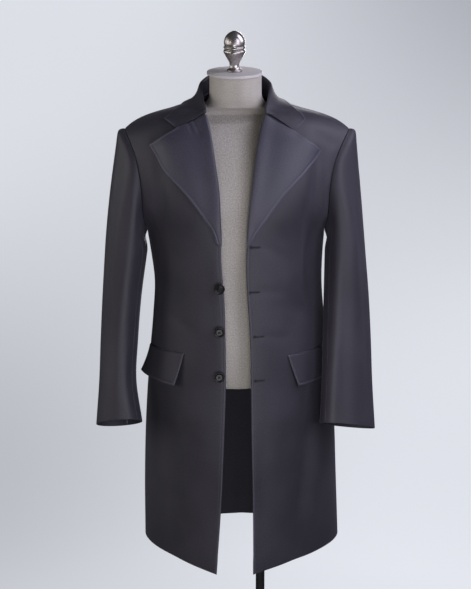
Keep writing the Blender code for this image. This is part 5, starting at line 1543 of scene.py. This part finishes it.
torso_values = np.array([row[1:] for row in TORSO_ROWS])
torso_ranks = np.arange(len(TORSO_ROWS))
torso_at = np.linspace(0, len(TORSO_ROWS) - 1, 140)
linear = np.stack([np.interp(torso_at, torso_ranks, column) for column in torso_values.T], axis=1)
near_shoulder = ((torso_at > STRAIGHT_FROM) & (torso_at < STRAIGHT_TO))[:, None]
torso_rows = np.where(near_shoulder, linear, through(torso_ranks, torso_values, torso_at))
rings = [superring(z, *torso_rows[0][1:], squash) for z, squash in ((0.8206, 0.004), (0.8214, 0.0012))]
rings += [superring(*row, SKIN_IN) for row in torso_rows if row[0] > 0.823]
wear(lathe("form_torso_jersey", rings, JERSEY), "jersey", "form_torso")
print("torso rings:", len(rings))

# %% Neck cap and finial
CAP_RADIUS, CAP_LOW_Z, CAP_TOP_Z = 0.059, 1.4883, 1.4950
FINIAL_BASE_Z = 1.4953
FINIAL_PROFILE = [
    (0.0160, 0.0000), (0.0165, 0.0025), (0.0120, 0.0065), (0.0105, 0.0110), (0.0112, 0.0180),
    (0.0150, 0.0255), (0.0200, 0.0345), (0.0228, 0.0395), (0.0236, 0.0425), (0.0228, 0.0455),
    (0.0206, 0.0470), (0.0232, 0.0500), (0.0232, 0.0525), (0.0212, 0.0540), (0.0226, 0.0590),
    (0.0222, 0.0660), (0.0190, 0.0745), (0.0130, 0.0810), (0.0060, 0.0850), (0.0022, 0.0866),
]


def turned(name, profile, material, centre_x, segments, fine=None):
    """A turned piece from (radius, height) pairs, smoothed between them where `fine` steps are given."""
    rows = np.array(profile, float)
    if fine:
        rows = through(range(len(rows)), rows, np.linspace(0, len(rows) - 1, fine))
    angles = ring_angles(segments)
    rings = [np.column_stack([r * np.cos(angles), r * np.sin(angles), np.full(segments, z)]) for r, z in rows]
    return lathe(name, rings, material, (centre_x, 0.0))


def soft_edges(profile, radius, steps=4):
    """Round each corner of a (radius, height) profile with a small arc of points."""
    points = np.array(profile, float)
    made = [points[0]]
    for before, corner, after in zip(points, points[1:], points[2:]):
        a, b = before - corner, after - corner
        la, lb = np.linalg.norm(a), np.linalg.norm(b)
        reach = min(radius, la * 0.45, lb * 0.45)
        p, q = corner + a / la * reach, corner + b / lb * reach
        for t in np.linspace(0, 1, steps + 1):
            made.append(p * (1 - t)**2 + corner * 2 * t * (1 - t) + q * t**2)
    return made + [points[-1]]


board = [(0.020, CAP_LOW_Z), (CAP_RADIUS, CAP_LOW_Z), (CAP_RADIUS, CAP_TOP_Z), (0.020, CAP_TOP_Z)]
cap = turned("form_neck_board", soft_edges(board, 0.0016), BOARD, FORM_CENTRE_X, 96)
wear(cap, "board", "form_neck_cap")
finial = turned("form_finial_acorn", [(r, FINIAL_BASE_Z + h) for r, h in FINIAL_PROFILE], SILVER,
                FORM_CENTRE_X, 72, fine=150)
wear(finial, "aged_silver", "form_finial")
print("finial points:", len(finial.data.vertices))

# %% Stand
POLE_X, POLE_RADIUS = 0.056, 0.010
FLANGE_RADIUS, FLANGE_THICKNESS = 0.030, 0.006
BASE_RADIUS, BASE_EDGE, BASE_HEIGHT = 0.1852, 0.010, 0.030
pole_top, pole_low = 0.8197, BASE_HEIGHT + 0.0003
flange_z = pole_top - FLANGE_THICKNESS
pole_profile = [(0.004, pole_low), (POLE_RADIUS, pole_low), (POLE_RADIUS, flange_z - 0.004),
                (POLE_RADIUS + 0.006, flange_z), (FLANGE_RADIUS, flange_z), (FLANGE_RADIUS, pole_top),
                (0.004, pole_top)]
base_profile = [(0.020, 0.0), (BASE_RADIUS, 0.0), (BASE_RADIUS, BASE_EDGE - 0.001),
                (BASE_RADIUS * 0.60, BASE_EDGE + 0.008), (BASE_RADIUS * 0.16, BASE_HEIGHT - 0.006),
                (BASE_RADIUS * 0.13, BASE_HEIGHT), (0.012, BASE_HEIGHT)]
for name, profile, softness, segments in (("pole", pole_profile, 0.0012, 64),
                                          ("base", base_profile, 0.0030, 128)):
    made = turned(f"stand_{name}_steel", soft_edges(profile, softness), STEEL, POLE_X, segments)
    wear(made, "dark_steel", "stand_" + name)
print("stand pieces: 2")

# %% [markdown]
# ## Studio, lights and camera
#
# The coat stands in a pale round cove, a floor that curves up into a wall with no line between them.
# Only the camera sees the cove, and only its inner side, so it throws no light and hides nothing from
# any side. Its glow is painted light in place of lamplight on the wall, and the wall behind is painted
# darker toward two opposite corners, as painted shade. Five small cool lamps are on the wearer's left,
# above and in front. Larger and warmer ones are farther off on the other side, one is low in front of
# the skirts and one is behind. The camera looks down a little, as the ellipse of the hem shows, through
# a long lens.

# %% Studio cove
COVE_MIDDLE, COVE_PAINT, COVE_GLOW = 0.72, 0.28, 0.85
COVE_RADIUS, COVE_CORNER, COVE_TOP, COVE_SIDES = 1.60, 0.70, 4.2, 96
COVE_WIDE, COVE_TALL = 1.10, 1.40        # how far from the middle the painted shade reaches full strength
COVE_PALE, COVE_SHADE = (0.735, 0.760, 0.805, 1), (0.365, 0.375, 0.415, 1)


def cove_material():
    """Paint with a little glow, which is painted light, darkened toward two corners as painted shade. Only
    the camera sees it, and only from inside the cove.
    """
    made, tree, shader = start_material("pale backdrop")
    axes = node(tree, "ShaderNodeSeparateXYZ",
                {0: node(tree, "ShaderNodeTexCoord").outputs["Object"]}).outputs
    far = calc(tree, "MULTIPLY", axes["X"], calc(tree, "MAXIMUM", axes["Y"], 0.0))
    across = calc(tree, "MULTIPLY", far, 1 / (COVE_WIDE * COVE_RADIUS))
    tall = calc(tree, "MULTIPLY", calc(tree, "ADD", axes["Z"], -COVE_MIDDLE), 1 / COVE_TALL)
    # painted shade: darker toward two opposite corners of the wall, where less lamplight would fall
    corner = remap(tree, calc(tree, "MULTIPLY", across, tall), -0.16, 0.42, interpolation_type="SMOOTHSTEP")
    tones = between(tree, corner, COVE_PALE, COVE_SHADE)
    # the emission is painted light, in place of the lamps' light on the wall
    feed(tree, shader, {"Base Color": scaled(tree, tones, COVE_PAINT), "Emission Color": tones,
                        "Emission Strength": COVE_GLOW, "Roughness": 0.9})
    inside = calc(tree, "SUBTRACT", 1.0, node(tree, "ShaderNodeNewGeometry").outputs["Backfacing"])
    seen = calc(tree, "MULTIPLY", node(tree, "ShaderNodeLightPath").outputs["Is Camera Ray"], inside)
    clear = node(tree, "ShaderNodeBsdfTransparent")
    either = node(tree, "ShaderNodeMixShader", {0: seen, 1: clear.outputs[0], 2: shader.outputs[0]})
    feed(tree, tree.nodes["Material Output"], {"Surface": either.outputs[0]})
    return made


def make_cove():
    flat = COVE_RADIUS - COVE_CORNER
    line = [(flat * k / 6, 0.0) for k in range(1, 6)]
    line += [(flat + COVE_CORNER * math.sin(a), COVE_CORNER * (1 - math.cos(a)))
             for a in np.linspace(0, math.pi / 2, 24)]
    line += [(COVE_RADIUS, COVE_TOP)]
    vertices = [(0.0, 0.0, 0.0)]
    vertices += [(r * math.cos(t), r * math.sin(t), z) for r, z in line for t in ring_angles(COVE_SIDES)]
    uvs = [(x, z) for x, y, z in vertices]
    return mesh_object("studio_cove", vertices, dome(len(line), COVE_SIDES), uvs, [cove_material()])


make_cove()
print("studio cove:", COVE_RADIUS, "m round")

# %% Lights
COOL, NEUTRAL, WARM = (0.84, 0.83, 1.0), (0.98, 0.97, 1.0), (1.0, 0.90, 0.80)
SMALL_LAMP, TALL_LAMP, LOW_LAMP = (0.8, 0.8), (1.2, 1.6), (0.6, 0.6)
Lamp = namedtuple("Lamp", "name x y z aim_z size power colour")
LAMPS = [
    Lamp("key light",    1.541,  0.000, 2.118, 1.3, SMALL_LAMP, 11.0, COOL),
    Lamp("upper light",  1.093,  0.000, 2.702, 1.3, SMALL_LAMP, 9.5, COOL),
    Lamp("near light",   0.990, -1.180, 2.118, 1.3, SMALL_LAMP, 8.0, COOL),
    Lamp("chest light",  1.093, -1.302, 1.400, 1.3, SMALL_LAMP, 7.5, COOL),
    Lamp("front light",  0.440, -1.642, 1.400, 1.3, SMALL_LAMP, 5.0, COOL),
    Lamp("fill light",  -2.414, -2.026, 1.656, 1.1, TALL_LAMP, 10.0, WARM),
    Lamp("side light",  -3.104, -0.547, 1.656, 1.1, TALL_LAMP, 17.0, NEUTRAL),
    Lamp("hind light",  -2.961,  1.078, 1.656, 1.1, TALL_LAMP, 9.0, NEUTRAL),
    Lamp("skirt light",  0.000, -1.600, 0.500, 0.7, LOW_LAMP, 8.0, NEUTRAL),
    Lamp("back light",   0.500,  3.200, 1.250, 1.1, TALL_LAMP, 42.0, NEUTRAL),
]


def aim(made, at, target):
    """Put a lamp or the camera in the scene, looking at a point."""
    made.location = at
    made.rotation_euler = (Vector(target) - Vector(at)).to_track_quat("-Z", "Y").to_euler()
    bpy.context.scene.collection.objects.link(made)
    return made


for lamp in LAMPS:
    data = bpy.data.lights.new(lamp.name, "AREA")
    data.shape, data.energy, data.color = "RECTANGLE", lamp.power, lamp.colour
    data.size, data.size_y = lamp.size
    made = aim(bpy.data.objects.new(lamp.name, data), (lamp.x, lamp.y, lamp.z), (0.0, 0.0, lamp.aim_z))
    made.visible_camera = False
print("lamps:", len(LAMPS))

# %% Sky
SKY_COLOUR = (0.93, 0.95, 1.0, 1)
SKY_LIGHT, SKY_SEEN = 0.03, 0.66         # strength as a light, and as the camera sees it past the cove
world = bpy.data.worlds.new("studio")
bpy.context.scene.world = world
world.use_nodes = True
seen = node(world.node_tree, "ShaderNodeLightPath").outputs["Is Camera Ray"]
strength = remap(world.node_tree, seen, to_low=SKY_LIGHT, to_high=SKY_SEEN)
feed(world.node_tree, world.node_tree.nodes["Background"], {"Color": SKY_COLOUR, "Strength": strength})
print("sky light:", SKY_LIGHT)

# %% Camera
camera_data = bpy.data.cameras.new("camera")
camera_data.lens, camera_data.sensor_width = 133.98, 36.0
scene = bpy.context.scene
scene.camera = aim(bpy.data.objects.new("camera", camera_data), (0.0, -4.6023, 2.3633), (0.0, 0.0, 1.0))
scene.view_settings.view_transform = "Standard"
print("camera at", [round(c, 3) for c in scene.camera.location])
